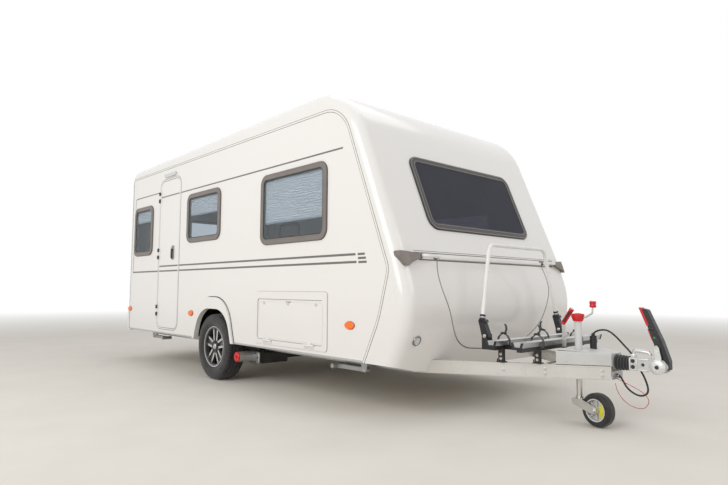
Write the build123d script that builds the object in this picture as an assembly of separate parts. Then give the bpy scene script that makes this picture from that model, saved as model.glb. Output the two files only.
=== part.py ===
from build123d import *
from collections import namedtuple
from math import atan2, cos, degrees, hypot, radians, sin, tan
import os

# A touring caravan. All sizes are millimetres.
# X points forward to the coupling, Y points to the left, Z points up, and the ground is at Z zero.

# Body shell, seen from the side
BODY_HALF_WIDTH = 1160.0
WALL = 30.0
EDGE_RADIUS = 95.0
SEAT_GAP = 0.3
REAR_FOOT_X = -3150.0
REAR_HEAD_X = -3172.0
ROOF_REAR_Z = 2520.0
ROOF_FRONT_X = 1315.0
ROOF_FRONT_Z = 2578.0
TRIM_X = 1888.0
TRIM_Z = 1172.0
NOSE_X = 2008.0
NOSE_Z = 780.0
CHIN_X = 1813.0
CHIN_Z = 345.0
SHELL_FOOT_Z = 250.0
WALL_FOOT_Z = 393.0
CHIN_FOOT_Z = 320.0
CHIN_HALF_WIDTH = 700.0
GUTTER_Z = 2393.0
ROOF_JOINT_Z = 2105.0
SEAM_REAR_X = -3103.0

# Floor and chassis
CHASSIS_TOP_Z = 412.0
CHASSIS_HEIGHT = 95.0
CHASSIS_SKIN = 5.0
FLOOR_THICKNESS = 45.0
RAIL_INSET = 330.0
RAIL_HALF_WIDTH = BODY_HALF_WIDTH - RAIL_INSET
RAIL_FLANGE = 45.0
RAIL_REAR_X = -3060.0
DRAWBAR_TIP_X = 2885.0
DRAWBAR_TIP_HALF_WIDTH = 84.0
DRAWBAR_SLOPE = 0.64

# Road wheels and axle
AXLE_X = -770.0
WHEEL_INSET = 100.0
TRACK_HALF_WIDTH = BODY_HALF_WIDTH - WHEEL_INSET
TYRE_RADIUS = 334.0
TYRE_WIDTH = 205.0
RIM_FLANGE_RADIUS = 208.0
RIM_SEAT_RADIUS = 190.0
RIM_SKIN = 7.0
SPOKE_COUNT = 5
SPINDLE_RADIUS = 20.0
AXLE_TUBE_RADIUS = 48.0
AXLE_TUBE_SKIN = 6.0
TRAILING_ARM_LENGTH = 148.0
AXLE_TUBE_X = AXLE_X + TRAILING_ARM_LENGTH
AXLE_TUBE_Z = 268.0

# Coupling line
COUPLING_Z = 436.0
BALL_REACH = 293.0
BALL_X = DRAWBAR_TIP_X + BALL_REACH
BALL_RADIUS = 25.5

SideWindow = namedtuple("SideWindow", "x_low x_high z_low z_high")
RIGHT_WINDOWS = (
    SideWindow(118.0, 1097.0, 1335.0, 1985.0),
    SideWindow(-1430.0, -663.0, 1445.0, 1995.0),
    SideWindow(-2990.0, -2400.0, 1350.0, 1985.0),
)
LEFT_WINDOWS = (
    SideWindow(118.0, 1097.0, 1335.0, 1985.0),
    SideWindow(-1300.0, -533.0, 1445.0, 1995.0),
    SideWindow(-2990.0, -2400.0, 1350.0, 1985.0),
)
WINDOW_CORNER = 95.0
FRAME_PROUD = 14.0
FRAME_WIDTH = 48.0
FRAME_LAP = 20.0
PANE_THICKNESS = 6.0

# Entrance door, service hatch and wheel arch on the side walls
DOOR = SideWindow(-2190.0, -1645.0, 466.0, 2240.0)
DOOR_CORNER = 90.0
LEAF_GAP = 5.0
HATCH = SideWindow(93.0, 1060.0, 480.0, 838.0)
HATCH_CORNER = 22.0
HATCH_FRAME = SideWindow(56.0, 1112.0, 435.0, 910.0)
ARCH_HALF_WIDTH = 395.0
ARCH_TOP_Z = 724.0
ARCH_LEAN = 0.32
ARCH_CORNER = 290.0
ARCH_TRIM_WIDTH = 40.0
ARCH_TRIM_CORNER = 330.0
ARCH_TRIM_TOP_Z = 844.0
ARCH_TRIM_PROUD = 22.0
WHEEL_BOX_HALF_LENGTH = 415.0
WHEEL_BOX_TOP_Z = 765.0
WHEEL_BOX_DEPTH = 290.0
WHEEL_BOX_SKIN = 4.0

# Longer than the whole model, for cutting tools that pass through it
FAR = 5000.0

os.makedirs("parts", exist_ok=True)


def rounded_face(corners):
    """Plane face from corners given as x, z and corner radius, in order round the outline."""
    count = len(corners)
    entries = []
    exits = []
    middles = []
    for index, (x, z, radius) in enumerate(corners):
        here = Vector(x, z)
        back = (Vector(*corners[index - 1][:2]) - here).normalized()
        ahead = (Vector(*corners[(index + 1) % count][:2]) - here).normalized()
        if radius <= 0:
            entries.append(here)
            exits.append(here)
            middles.append(None)
            continue
        half = radians(back.get_angle(ahead)) / 2
        reach = radius / tan(half)
        entries.append(here + back * reach)
        exits.append(here + ahead * reach)
        middles.append(here + (back + ahead).normalized() * (radius / sin(half) - radius))
    edges = []
    for index in range(count):
        if middles[index] is not None:
            edges.append(ThreePointArc(entries[index], middles[index], exits[index]))
        following = entries[(index + 1) % count]
        if (following - exits[index]).length > 1e-4:
            edges.append(Line(exits[index], following))
    return make_face(Wire(edges))


def inset(corners, distance):
    """Corners moved inward by a distance, with the radius of each convex corner made smaller."""
    count = len(corners)
    area = sum(
        corners[i - 1][0] * corners[i][1] - corners[i][0] * corners[i - 1][1] for i in range(count)
    )
    turn = 1.0 if area > 0 else -1.0
    moved = []
    for index in range(count):
        x, z, radius = corners[index]
        x_back, z_back, _ = corners[index - 1]
        x_next, z_next, _ = corners[(index + 1) % count]
        in_x, in_z = x - x_back, z - z_back
        out_x, out_z = x_next - x, z_next - z
        in_length, out_length = hypot(in_x, in_z), hypot(out_x, out_z)
        normal_in = (-in_z / in_length * turn, in_x / in_length * turn)
        normal_out = (-out_z / out_length * turn, out_x / out_length * turn)
        scale = 1 + normal_in[0] * normal_out[0] + normal_in[1] * normal_out[1]
        shift_x = (normal_in[0] + normal_out[0]) / scale * distance
        shift_z = (normal_in[1] + normal_out[1]) / scale * distance
        moved.append((x + shift_x, z + shift_z, max(radius - distance, 0.5) if radius > 0 else 0))
    return moved


def along_y(face, y_low, y_high):
    """Prism of an X, Z outline between two values of Y."""
    plane = Plane(origin=(0, y_high, 0), x_dir=(1, 0, 0), z_dir=(0, -1, 0))
    return extrude(plane * face, amount=y_high - y_low)


def along_x(face, x_low, x_high):
    """Prism of a Y, Z outline between two values of X."""
    plane = Plane(origin=(x_low, 0, 0), x_dir=(0, 1, 0), z_dir=(1, 0, 0))
    return extrude(plane * face, amount=x_high - x_low)


def along_z(face, z_low, z_high):
    """Prism of an X, Y outline between two values of Z."""
    return extrude(Plane(origin=(0, 0, z_low)) * face, amount=z_high - z_low)


def block(x_low, x_high, y_low, y_high, z_low, z_high):
    """Box between two corners."""
    middle = ((x_low + x_high) / 2, (y_low + y_high) / 2, (z_low + z_high) / 2)
    return Pos(*middle) * Box(x_high - x_low, y_high - y_low, z_high - z_low)


def rod(start, end, radius):
    """Round bar between two points."""
    start, end = Vector(*start), Vector(*end)
    plane = Plane(origin=start, z_dir=end - start)
    return extrude(plane * Circle(radius), amount=(end - start).length)


def pipe(start, end, radius, bore):
    """Round tube between two points."""
    start, end = Vector(*start), Vector(*end)
    plane = Plane(origin=start, z_dir=end - start)
    return extrude(plane * (Circle(radius) - Circle(bore)), amount=(end - start).length)


def bent_rod(points, bend, radius):
    """Round bar through points, with each inner corner bent to a radius."""
    spots = [Vector(*point) for point in points]
    edges = []
    last = spots[0]
    for index in range(1, len(spots) - 1):
        here = spots[index]
        back = (spots[index - 1] - here).normalized()
        ahead = (spots[index + 1] - here).normalized()
        half = radians(back.get_angle(ahead)) / 2
        reach = bend / tan(half)
        middle = here + (back + ahead).normalized() * (bend / sin(half) - bend)
        edges.append(Line(last, here + back * reach))
        edges.append(ThreePointArc(here + back * reach, middle, here + ahead * reach))
        last = here + ahead * reach
    edges.append(Line(last, spots[-1]))
    section = Plane(origin=spots[0], z_dir=spots[1] - spots[0]) * Circle(radius)
    return sweep(section, path=Wire(edges))


def rectangle(box, corner):
    """Rounded outline of a window or door."""
    return (
        (box.x_low, box.z_low, corner),
        (box.x_high, box.z_low, corner),
        (box.x_high, box.z_high, corner),
        (box.x_low, box.z_high, corner),
    )


def mirror_y(shape):
    """The same shape on the other side of the caravan."""
    return mirror(shape, about=Plane.XZ)


def save(name, *shapes):
    """Write one node, with every solid of the shapes in it."""
    solids = [solid for shape in shapes for solid in shape.solids()]
    part = solids[0] if len(solids) == 1 else Compound(children=solids)
    export_step(part, f"parts/{name}.step")


# Body shell
def body_profile(distance):
    """Side outline of the whole body, moved inward by a distance."""
    corners = (
        (REAR_FOOT_X, SHELL_FOOT_Z, 0),
        (CHIN_X - (CHIN_Z - SHELL_FOOT_Z) * 0.45, SHELL_FOOT_Z, 0),
        (CHIN_X, CHIN_Z, 0),
        (NOSE_X, NOSE_Z, 600.0),
        (TRIM_X, TRIM_Z, 900.0),
        (ROOF_FRONT_X, ROOF_FRONT_Z, 600.0),
        (REAR_HEAD_X, ROOF_REAR_Z, 130.0),
    )
    return inset(corners, distance)


def body_solid(distance):
    """Closed body form, moved inward by a distance."""
    half = BODY_HALF_WIDTH - distance
    solid = along_y(rounded_face(body_profile(distance)), -half, half)
    rounded = [
        edge
        for edge in solid.edges()
        if abs(abs(edge.center().Y) - half) < 0.1
        and abs(edge.bounding_box().max.Y - edge.bounding_box().min.Y) < 0.1
        and edge.center().Z > SHELL_FOOT_Z + distance + 60
    ]
    return fillet(rounded, EDGE_RADIUS - distance)


SEAM = (
    (SEAM_REAR_X, WALL_FOOT_Z, 0),
    (1534.0, WALL_FOOT_Z, 0),
    (1690.0, 717.0, 900.0),
    (1792.0, 1082.0, 150.0),
    (1277.0, GUTTER_Z, 329.0),
    (SEAM_REAR_X, GUTTER_Z, 45.0),
)

outer = body_solid(0.0)
inner = body_solid(WALL)
lining = body_solid(WALL + SEAT_GAP)
side_prism = along_y(rounded_face(SEAM), -BODY_HALF_WIDTH - 1, -BODY_HALF_WIDTH + WALL)
ring = outer - inner - side_prism - mirror_y(side_prism)

roof_zone = block(0, FAR, -FAR, FAR, ROOF_JOINT_Z, FAR) + block(-FAR, 0, -FAR, FAR, GUTTER_Z, FAR)
upper_zone = block(0, FAR, -FAR, FAR, TRIM_Z, ROOF_JOINT_Z)
lower_zone = block(0, FAR, -FAR, FAR, 0, TRIM_Z)
rear_zone = block(-FAR, 0, -FAR, FAR, WALL_FOOT_Z, GUTTER_Z)

roof = ring & roof_zone
front_upper = ring & upper_zone
front_lower = ring & lower_zone
rear_panel = ring & rear_zone


# Front window, on the sloping front
lean = Vector(TRIM_X - ROOF_FRONT_X, 0, TRIM_Z - ROOF_FRONT_Z).normalized()
front_normal = Vector(-lean.Z, 0, lean.X)
FRONT_WINDOW_HALF = 700.0
FRONT_WINDOW_LOW_Z = 1400.0
FRONT_WINDOW_HIGH_Z = 2015.0
FRONT_WINDOW_CORNER = 105.0
front_middle_z = (FRONT_WINDOW_LOW_Z + FRONT_WINDOW_HIGH_Z) / 2
front_middle_x = TRIM_X + lean.X / lean.Z * (front_middle_z - TRIM_Z)
front_plane = Plane(origin=(front_middle_x, 0, front_middle_z), x_dir=(0, 1, 0), z_dir=front_normal)
front_half_height = (FRONT_WINDOW_HIGH_Z - FRONT_WINDOW_LOW_Z) / 2 / -lean.Z
FRONT_WINDOW = SideWindow(-FRONT_WINDOW_HALF, FRONT_WINDOW_HALF, -front_half_height, front_half_height)


def window_cut(box, reach):
    """Outline of the hole in the wall behind a window frame, made larger by a reach."""
    return rounded_face(inset(rectangle(box, WINDOW_CORNER), FRAME_LAP - reach))


def window_set(box, prism):
    """Frame and pane of one window; prism turns an outline and two depths into a solid."""
    outline = rectangle(box, WINDOW_CORNER)
    flange = prism(rounded_face(outline), -FRAME_PROUD, 0)
    collar = prism(rounded_face(inset(outline, FRAME_LAP + SEAT_GAP)), 0, WALL)
    daylight = rounded_face(inset(outline, FRAME_WIDTH))
    frame = flange + collar - prism(daylight, -FRAME_PROUD - 1, WALL + 1)
    pane_depth = -FRAME_PROUD + 5
    pane = prism(rounded_face(inset(outline, FRAME_WIDTH + SEAT_GAP)), pane_depth, pane_depth + PANE_THICKNESS)
    return frame, pane


def right_wall_prism(face, depth_low, depth_high):
    """Prism in the right wall, with depth counted inward from its outer face."""
    return along_y(face, -BODY_HALF_WIDTH + depth_low, -BODY_HALF_WIDTH + depth_high)


def front_prism(face, depth_low, depth_high):
    """Prism in the sloping front, with depth counted inward from its outer face."""
    plane = Plane(
        origin=front_plane.origin - front_plane.z_dir * depth_high,
        x_dir=front_plane.x_dir,
        z_dir=front_plane.z_dir,
    )
    return extrude(plane * face, amount=depth_high - depth_low)


REAR_WINDOW = SideWindow(-560.0, 560.0, 1400.0, 1950.0)
rear_lean = Vector(REAR_HEAD_X - REAR_FOOT_X, 0, ROOF_REAR_Z - SHELL_FOOT_Z).normalized()
rear_normal = Vector(-rear_lean.Z, 0, rear_lean.X)


def rear_face_x(z):
    """X of the outer face of the rear wall at a height."""
    return REAR_FOOT_X + rear_lean.X / rear_lean.Z * (z - SHELL_FOOT_Z)


def rear_prism(face, depth_low, depth_high):
    """Prism in the rear wall, with depth counted inward from its outer face."""
    middle_z = (REAR_WINDOW.z_low + REAR_WINDOW.z_high) / 2
    origin = Vector(rear_face_x(middle_z), 0, middle_z) - rear_normal * depth_high
    plane = Plane(origin=origin, x_dir=(0, -1, 0), z_dir=rear_normal)
    return extrude(plane * face, amount=depth_high - depth_low)


rear_half_height = (REAR_WINDOW.z_high - REAR_WINDOW.z_low) / 2
rear_outline_box = SideWindow(REAR_WINDOW.x_low, REAR_WINDOW.x_high, -rear_half_height, rear_half_height)

# Side walls
door_hole = rounded_face(inset(rectangle(DOOR, DOOR_CORNER), -LEAF_GAP))
hatch_hole = rounded_face(inset(rectangle(HATCH, HATCH_CORNER), -LEAF_GAP))


def arch_outline(half_width, top_z, foot_z, corner):
    """Round wheel arch whose legs lean inward from a half width at its foot."""
    shoulder = half_width - ARCH_LEAN * (top_z - foot_z)
    return (
        (AXLE_X - half_width, foot_z, 0),
        (AXLE_X + half_width, foot_z, 0),
        (AXLE_X + shoulder, top_z, corner),
        (AXLE_X - shoulder, top_z, corner),
    )


arch_hole = rounded_face(arch_outline(ARCH_HALF_WIDTH, ARCH_TOP_Z, WALL_FOOT_Z - 1, ARCH_CORNER))
wall_plate = side_prism & outer
wall_right = wall_plate - right_wall_prism(arch_hole, -1, WALL + 1)
for box in RIGHT_WINDOWS:
    wall_right -= right_wall_prism(window_cut(box, 0), -1, WALL + 1)
wall_right -= right_wall_prism(door_hole, -1, WALL + 1)
wall_right -= right_wall_prism(hatch_hole, -1, WALL + 1)
wall_left = wall_plate - right_wall_prism(arch_hole, -1, WALL + 1)
for box in LEFT_WINDOWS:
    wall_left -= right_wall_prism(window_cut(box, 0), -1, WALL + 1)
save("side_wall_right", wall_right)
save("side_wall_left", mirror_y(wall_left))

right_sets = [window_set(box, right_wall_prism) for box in RIGHT_WINDOWS]
left_sets = [window_set(box, right_wall_prism) for box in LEFT_WINDOWS]

front_frame, front_pane = window_set(FRONT_WINDOW, front_prism)
front_upper -= front_prism(window_cut(FRONT_WINDOW, 0), -50, WALL + 60)
save("front_panel_upper", front_upper)

rear_frame, rear_pane = window_set(rear_outline_box, rear_prism)
window_sets = right_sets + [(mirror_y(frame), mirror_y(pane)) for frame, pane in left_sets]
window_sets += [(front_frame, front_pane), (rear_frame, rear_pane)]
save("window_frames", *[frame for frame, _ in window_sets])
save("window_panes", *[pane for _, pane in window_sets])
rear_panel -= rear_prism(window_cut(rear_outline_box, 0), -50, WALL + 60)
save("rear_panel", rear_panel)

# Roof with two roof lights
RoofLight = namedtuple("RoofLight", "x_low x_high half_width height")
ROOF_LIGHTS = (RoofLight(-480.0, 180.0, 480.0, 48.0), RoofLight(-2500.0, -2100.0, 200.0, 60.0))
ROOF_LIGHT_LAP = 40.0
roof_slope = (ROOF_FRONT_Z - ROOF_REAR_Z) / (ROOF_FRONT_X - REAR_HEAD_X)
domes = []
for light in ROOF_LIGHTS:
    middle_x = (light.x_low + light.x_high) / 2
    roof_z = ROOF_REAR_Z + roof_slope * (middle_x - REAR_HEAD_X)
    top = Plane(origin=(middle_x, 0, roof_z), x_dir=(cos(roof_slope), 0, sin(roof_slope)), z_dir=(-sin(roof_slope), 0, cos(roof_slope)))
    length = light.x_high - light.x_low
    dome = extrude(Pos(0, 0, SEAT_GAP) * top * RectangleRounded(length, 2 * light.half_width, 60), amount=light.height)
    dome = fillet(dome.faces().sort_by(Axis.Z)[-1].edges(), light.height * 0.6)
    hollow = RectangleRounded(length - 2 * ROOF_LIGHT_LAP, 2 * (light.half_width - ROOF_LIGHT_LAP), 40)
    dome -= extrude(Plane(origin=top.origin - top.z_dir, x_dir=top.x_dir, z_dir=top.z_dir) * hollow, amount=light.height - 7)
    roof -= extrude(Plane(origin=top.origin - top.z_dir * 60, x_dir=top.x_dir, z_dir=top.z_dir) * hollow, amount=200)
    domes.append(dome)
save("roof", roof)
save("roof_lights", *domes)


# Chassis
RAIL_Z_LOW = CHASSIS_TOP_Z - CHASSIS_HEIGHT
kink_x = DRAWBAR_TIP_X - (RAIL_HALF_WIDTH - DRAWBAR_TIP_HALF_WIDTH) / DRAWBAR_SLOPE
drawbar_length = hypot(DRAWBAR_TIP_X - kink_x, RAIL_HALF_WIDTH - DRAWBAR_TIP_HALF_WIDTH)


def channel_section():
    """C section that opens toward its local left, with its web at the local right."""
    web = Rectangle(CHASSIS_SKIN, CHASSIS_HEIGHT, align=(Align.MAX, Align.MIN))
    foot = Rectangle(RAIL_FLANGE, CHASSIS_SKIN, align=(Align.MAX, Align.MIN))
    return web + foot + Pos(0, CHASSIS_HEIGHT - CHASSIS_SKIN) * foot


def right_rail(start, end):
    """C section on the right side between two points, with its web on the outside."""
    start, end = Vector(*start), Vector(*end)
    ahead = (end - start).normalized()
    side = ahead.cross(Vector(0, 0, 1))
    plane = Plane(origin=start, x_dir=side, z_dir=side.cross(Vector(0, 0, 1)))
    section = plane * channel_section()
    return extrude(section, amount=(end - start).length, dir=ahead)


rail_right = right_rail((RAIL_REAR_X, -RAIL_HALF_WIDTH, RAIL_Z_LOW), (kink_x, -RAIL_HALF_WIDTH, RAIL_Z_LOW))
drawbar_right = right_rail(
    (kink_x, -RAIL_HALF_WIDTH, RAIL_Z_LOW), (DRAWBAR_TIP_X, -DRAWBAR_TIP_HALF_WIDTH, RAIL_Z_LOW)
)
drawbar_right -= block(-FAR, kink_x + 1, -FAR, FAR, 0, FAR)
save("chassis_rails", rail_right, mirror_y(rail_right))
save("drawbar_beams", drawbar_right, mirror_y(drawbar_right))

# Front moulding lets the drawbar beams through, and its lid covers the gas locker
beam_way = along_z(
    make_face(
        Polyline(
            (kink_x - 200, -RAIL_HALF_WIDTH - 130, 0),
            (DRAWBAR_TIP_X, -DRAWBAR_TIP_HALF_WIDTH - 1.2, 0),
            (DRAWBAR_TIP_X, -DRAWBAR_TIP_HALF_WIDTH + RAIL_FLANGE + 12, 0),
            (kink_x - 200, -RAIL_HALF_WIDTH - 130 + RAIL_FLANGE + 12, 0),
            close=True,
        )
    ),
    RAIL_Z_LOW - 80,
    CHASSIS_TOP_Z + 1,
)
chin = rounded_face(
    (
        (-FAR, WALL_FOOT_Z, 0),
        (-BODY_HALF_WIDTH, WALL_FOOT_Z, 0),
        (-CHIN_HALF_WIDTH - 200, CHIN_FOOT_Z + 20, 150.0),
        (-CHIN_HALF_WIDTH, CHIN_FOOT_Z, 150.0),
        (CHIN_HALF_WIDTH, CHIN_FOOT_Z, 150.0),
        (CHIN_HALF_WIDTH + 200, CHIN_FOOT_Z + 20, 150.0),
        (BODY_HALF_WIDTH, WALL_FOOT_Z, 0),
        (FAR, WALL_FOOT_Z, 0),
        (FAR, FAR, 0),
        (-FAR, FAR, 0),
    )
)
front_lower &= along_x(chin, 0, FAR)
front_lower -= beam_way + mirror_y(beam_way)
LID = (
    (-748.0, 1150.0, 15.0),
    (-792.0, 985.0, 300.0),
    (-545.0, 492.0, 420.0),
    (0.0, 446.0, 2000.0),
    (545.0, 492.0, 420.0),
    (792.0, 985.0, 300.0),
    (748.0, 1150.0, 15.0),
)
LID_GAP = 4.0
lid_zone = along_x(rounded_face(LID), 1500, FAR)
lid_core = along_x(rounded_face(inset(LID, LID_GAP)), 1500, FAR)
save("front_locker_lid", front_lower & lid_core)
LID_LIP = 26.0
LID_LIP_SKIN = 8.0
backing = body_solid(WALL + LID_LIP_SKIN)
lip_outside = along_x(rounded_face(inset(LID, -12)), 1500, FAR)
lip_inside = along_x(rounded_face(inset(LID, LID_LIP)), 1500, FAR)
lip = ((inner - backing) & lip_outside) - lid_zone
lip += ((lining - backing) & lid_zone) - lip_inside
lip -= block(0, FAR, -FAR, FAR, 0, CHASSIS_TOP_Z + FLOOR_THICKNESS + SEAT_GAP)
save("front_panel_lower", front_lower - lid_zone + lip)

# Floor with the wheel boxes let in
floor_plate = lining & block(-FAR, FAR, -FAR, FAR, CHASSIS_TOP_Z, CHASSIS_TOP_Z + FLOOR_THICKNESS)
box_low = AXLE_X - WHEEL_BOX_HALF_LENGTH
box_high = AXLE_X + WHEEL_BOX_HALF_LENGTH
wall_inside = BODY_HALF_WIDTH - WALL - SEAT_GAP
box_inside = BODY_HALF_WIDTH - WHEEL_BOX_DEPTH
wheel_space = block(box_low, box_high, -FAR, -box_inside, 0, FAR)
floor_plate -= wheel_space + mirror_y(wheel_space)
save("floor", floor_plate)


def wheel_box():
    """Moulded box over the right wheel, open at its foot and toward the wall."""
    skin = WHEEL_BOX_SKIN
    side = (
        (box_low + SEAT_GAP, CHASSIS_TOP_Z, 0),
        (box_high - SEAT_GAP, CHASSIS_TOP_Z, 0),
        (box_high - SEAT_GAP, WHEEL_BOX_TOP_Z, 140.0),
        (box_low + SEAT_GAP, WHEEL_BOX_TOP_Z, 140.0),
    )
    shell = along_y(rounded_face(side), -wall_inside, -box_inside - SEAT_GAP)
    inside = [(x, z - (skin if z < CHASSIS_TOP_Z + 1 else 0), r) for x, z, r in inset(side, skin)]
    inside[0] = (inside[0][0], CHASSIS_TOP_Z - 1, 0)
    inside[1] = (inside[1][0], CHASSIS_TOP_Z - 1, 0)
    return shell - along_y(rounded_face(inside), -FAR, -box_inside - SEAT_GAP - skin)


save("wheel_boxes", wheel_box(), mirror_y(wheel_box()))

arch_trim_outline = arch_outline(
    ARCH_HALF_WIDTH + ARCH_TRIM_WIDTH, ARCH_TRIM_TOP_Z, WALL_FOOT_Z, ARCH_TRIM_CORNER
)
arch_trim = right_wall_prism(rounded_face(arch_trim_outline), -ARCH_TRIM_PROUD, 0)
arch_trim -= right_wall_prism(arch_hole, -ARCH_TRIM_PROUD - 1, 1)
save("wheel_arch_trims", arch_trim, mirror_y(arch_trim))


# Entrance door with its hinges and handle
HINGE_HEIGHTS = (2052.0, 1353.0, 665.0)
HINGE_LENGTH = 130.0
HINGE_RADIUS = 9.0
HINGE_PIN_RADIUS = 4.0
HINGE_PROUD = 13.0
HINGE_PLATE = 5.0
RUNNING_GAP = 0.08
DOOR_HINGE_PLATE = 20.0
HATCH_HINGE_PLATE = 14.0


def hinge(place, length, plate_width):
    """Fixed and moving halves of a hinge whose pin runs along local Z; the leaf lies toward local X."""
    third = length / 3
    plate_x = -HINGE_RADIUS - 1.5 - plate_width / 2
    fixed = Pos(plate_x, HINGE_PROUD - HINGE_PLATE / 2, 0) * Box(plate_width, HINGE_PLATE, length)
    moving_plate = Pos(HINGE_RADIUS + 8, HINGE_PROUD - HINGE_PLATE / 2, 0) * Box(34, HINGE_PLATE, third - 1)
    for side in (-1, 1):
        knuckle = Pos(0, 0, side * third) * Cylinder(HINGE_RADIUS, third)
        fixed += knuckle + Pos(-8, HINGE_PROUD - 6, side * third) * Box(14, 12, third)
    fixed += Cylinder(HINGE_PIN_RADIUS, length - 2)
    moving = Cylinder(HINGE_RADIUS, third - 1) + Pos(8, HINGE_PROUD - 6, 0) * Box(14, 12, third - 1)
    moving += moving_plate
    moving -= Cylinder(HINGE_PIN_RADIUS + RUNNING_GAP, third + 2)
    return place * fixed, place * moving


door_axis_x = DOOR.x_low - LEAF_GAP - 4.0
door_axis_y = -BODY_HALF_WIDTH - HINGE_PROUD
door_leaf = right_wall_prism(rounded_face(rectangle(DOOR, DOOR_CORNER)), 0, WALL)
hinge_fixed = []
for height in HINGE_HEIGHTS:
    fixed_half, moving_half = hinge(Pos(door_axis_x, door_axis_y, height), HINGE_LENGTH, DOOR_HINGE_PLATE)
    hinge_fixed.append(fixed_half)
    door_leaf += moving_half
save("door_leaf", door_leaf)

HANDLE_X = -1801.0
HANDLE_Z = 1354.0
HANDLE_PROUD = 22.0
handle_base = right_wall_prism(
    rounded_face(rectangle(SideWindow(HANDLE_X - 38, HANDLE_X + 38, HANDLE_Z - 85, HANDLE_Z + 85), 30)), -7, 0
)
handle_grip = right_wall_prism(
    rounded_face(rectangle(SideWindow(HANDLE_X - 14, HANDLE_X + 14, HANDLE_Z - 70, HANDLE_Z + 45), 12)), -HANDLE_PROUD, -HANDLE_PROUD + 8
)
handle_neck = right_wall_prism(
    rounded_face(rectangle(SideWindow(HANDLE_X - 14, HANDLE_X + 14, HANDLE_Z + 15, HANDLE_Z + 45), 12)), -HANDLE_PROUD, -7
)
save("door_handle", fillet(handle_base.faces().sort_by(Axis.Y)[0].edges(), 5) + handle_grip + handle_neck)

# Service hatch with a frame on the wall, hinged along its foot
HATCH_PROUD = 8.0
hatch_axis_y = -BODY_HALF_WIDTH - HINGE_PROUD
hatch_axis_z = HATCH.z_low - LEAF_GAP - 4.0
hatch_leaf = right_wall_prism(rounded_face(rectangle(HATCH, HATCH_CORNER)), 0, WALL)
hatch_hinges = []
hatch_frame = right_wall_prism(rounded_face(rectangle(HATCH_FRAME, 30.0)), -HATCH_PROUD, 0)
hatch_frame -= right_wall_prism(hatch_hole, -HATCH_PROUD - 1, 1)
for share in (0.18, 0.82):
    hinge_x = HATCH.x_low + share * (HATCH.x_high - HATCH.x_low)
    place = Plane(
        origin=(hinge_x, hatch_axis_y, hatch_axis_z), x_dir=(0, 0, 1), z_dir=(-1, 0, 0)
    ).location
    fixed_half, moving_half = hinge(place, HINGE_LENGTH, HATCH_HINGE_PLATE)
    hatch_hinges.append(fixed_half)
    hatch_leaf += moving_half
    room = block(
        hinge_x - HINGE_LENGTH / 2 - 3, hinge_x + HINGE_LENGTH / 2 + 3,
        -BODY_HALF_WIDTH - 40, -BODY_HALF_WIDTH, hatch_axis_z - 27, HATCH.z_low,
    )
    hatch_frame -= room
HATCH_LOCKS = (0.10, 0.49, 0.90)
for share in HATCH_LOCKS:
    lock_x = HATCH.x_low + share * (HATCH.x_high - HATCH.x_low)
    hatch_leaf += rod((lock_x, -BODY_HALF_WIDTH, HATCH.z_high - 32), (lock_x, -BODY_HALF_WIDTH - 5, HATCH.z_high - 32), 15)
save("service_hatch", hatch_leaf)
save("service_hatch_frame", hatch_frame)
save("wall_hinges", *hinge_fixed, *hatch_hinges)


# Front fittings: trim bar, grab handles and marker lamp housings
def front_face_x(z):
    """X of the straight part of the sloping front at a height."""
    return TRIM_X + lean.X / lean.Z * (z - TRIM_Z)


TRIM_BAR_HALF = 730.0
TRIM_BAR_HEIGHT = 24.0
TRIM_BAR_DEPTH = 16.0
bar_face_x = front_face_x(TRIM_Z)
trim_bar = block(
    bar_face_x - 12, bar_face_x + TRIM_BAR_DEPTH, -TRIM_BAR_HALF, TRIM_BAR_HALF,
    TRIM_Z - TRIM_BAR_HEIGHT / 2, TRIM_Z + TRIM_BAR_HEIGHT / 2,
)
trim_bar = trim_bar - outer
save("front_trim_bar", fillet(trim_bar.edges().filter_by(Axis.Y).sort_by(Axis.X)[-2:], 6))

GRAB_LOW_Y = 760.0
GRAB_HIGH_Y = 930.0
GRAB_Z = 1179.0
GRAB_PROUD = 58.0
GRAB_RADIUS = 13.0
grab_x = front_face_x(GRAB_Z)
grab = bent_rod(
    (
        (grab_x - 6, -GRAB_LOW_Y, GRAB_Z),
        (grab_x + GRAB_PROUD, -GRAB_LOW_Y - 12, GRAB_Z),
        (grab_x + GRAB_PROUD, -GRAB_HIGH_Y + 12, GRAB_Z),
        (grab_x - 6, -GRAB_HIGH_Y, GRAB_Z),
    ),
    30.0,
    GRAB_RADIUS,
)
for grab_y in (GRAB_LOW_Y, GRAB_HIGH_Y):
    grab += rod((grab_x - 20, -grab_y, GRAB_Z), (grab_x + 14, -grab_y, GRAB_Z), 22)
grab -= outer
save("grab_handles", grab, mirror_y(grab))

MARKER = (
    (-1146.0, 1212.0, 14.0),
    (-1146.0, 1172.0, 14.0),
    (-1112.0, 1094.0, 14.0),
    (-1060.0, 1128.0, 60.0),
    (-962.0, 1160.0, 6.0),
    (-962.0, 1194.0, 6.0),
)
MARKER_PROUD = 34.0
marker = along_x(rounded_face(MARKER), 1500, 2400)
marker_skin = body_solid(-MARKER_PROUD)
marker = (marker & marker_skin) - outer - side_prism
marker = marker & block(0, FAR, -BODY_HALF_WIDTH - MARKER_PROUD, 0, 0, FAR)
marker -= block(0, 1700, -FAR, FAR, 0, FAR)
save("marker_lamp_housings", marker, mirror_y(marker))

SIDE_LAMPS = ((1383.0, 660.0), (-1280.0, 660.0), (-3094.0 + 20, 660.0))
side_lamps = []
for lamp_x, lamp_z in SIDE_LAMPS:
    lens = right_wall_prism(Pos(lamp_x, lamp_z) * Ellipse(54, 29), -15, 0)
    lens = fillet(lens.faces().sort_by(Axis.Y)[0].edges(), 8)
    side_lamps += [lens, mirror_y(lens)]
save("side_lamps", *side_lamps)

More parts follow.
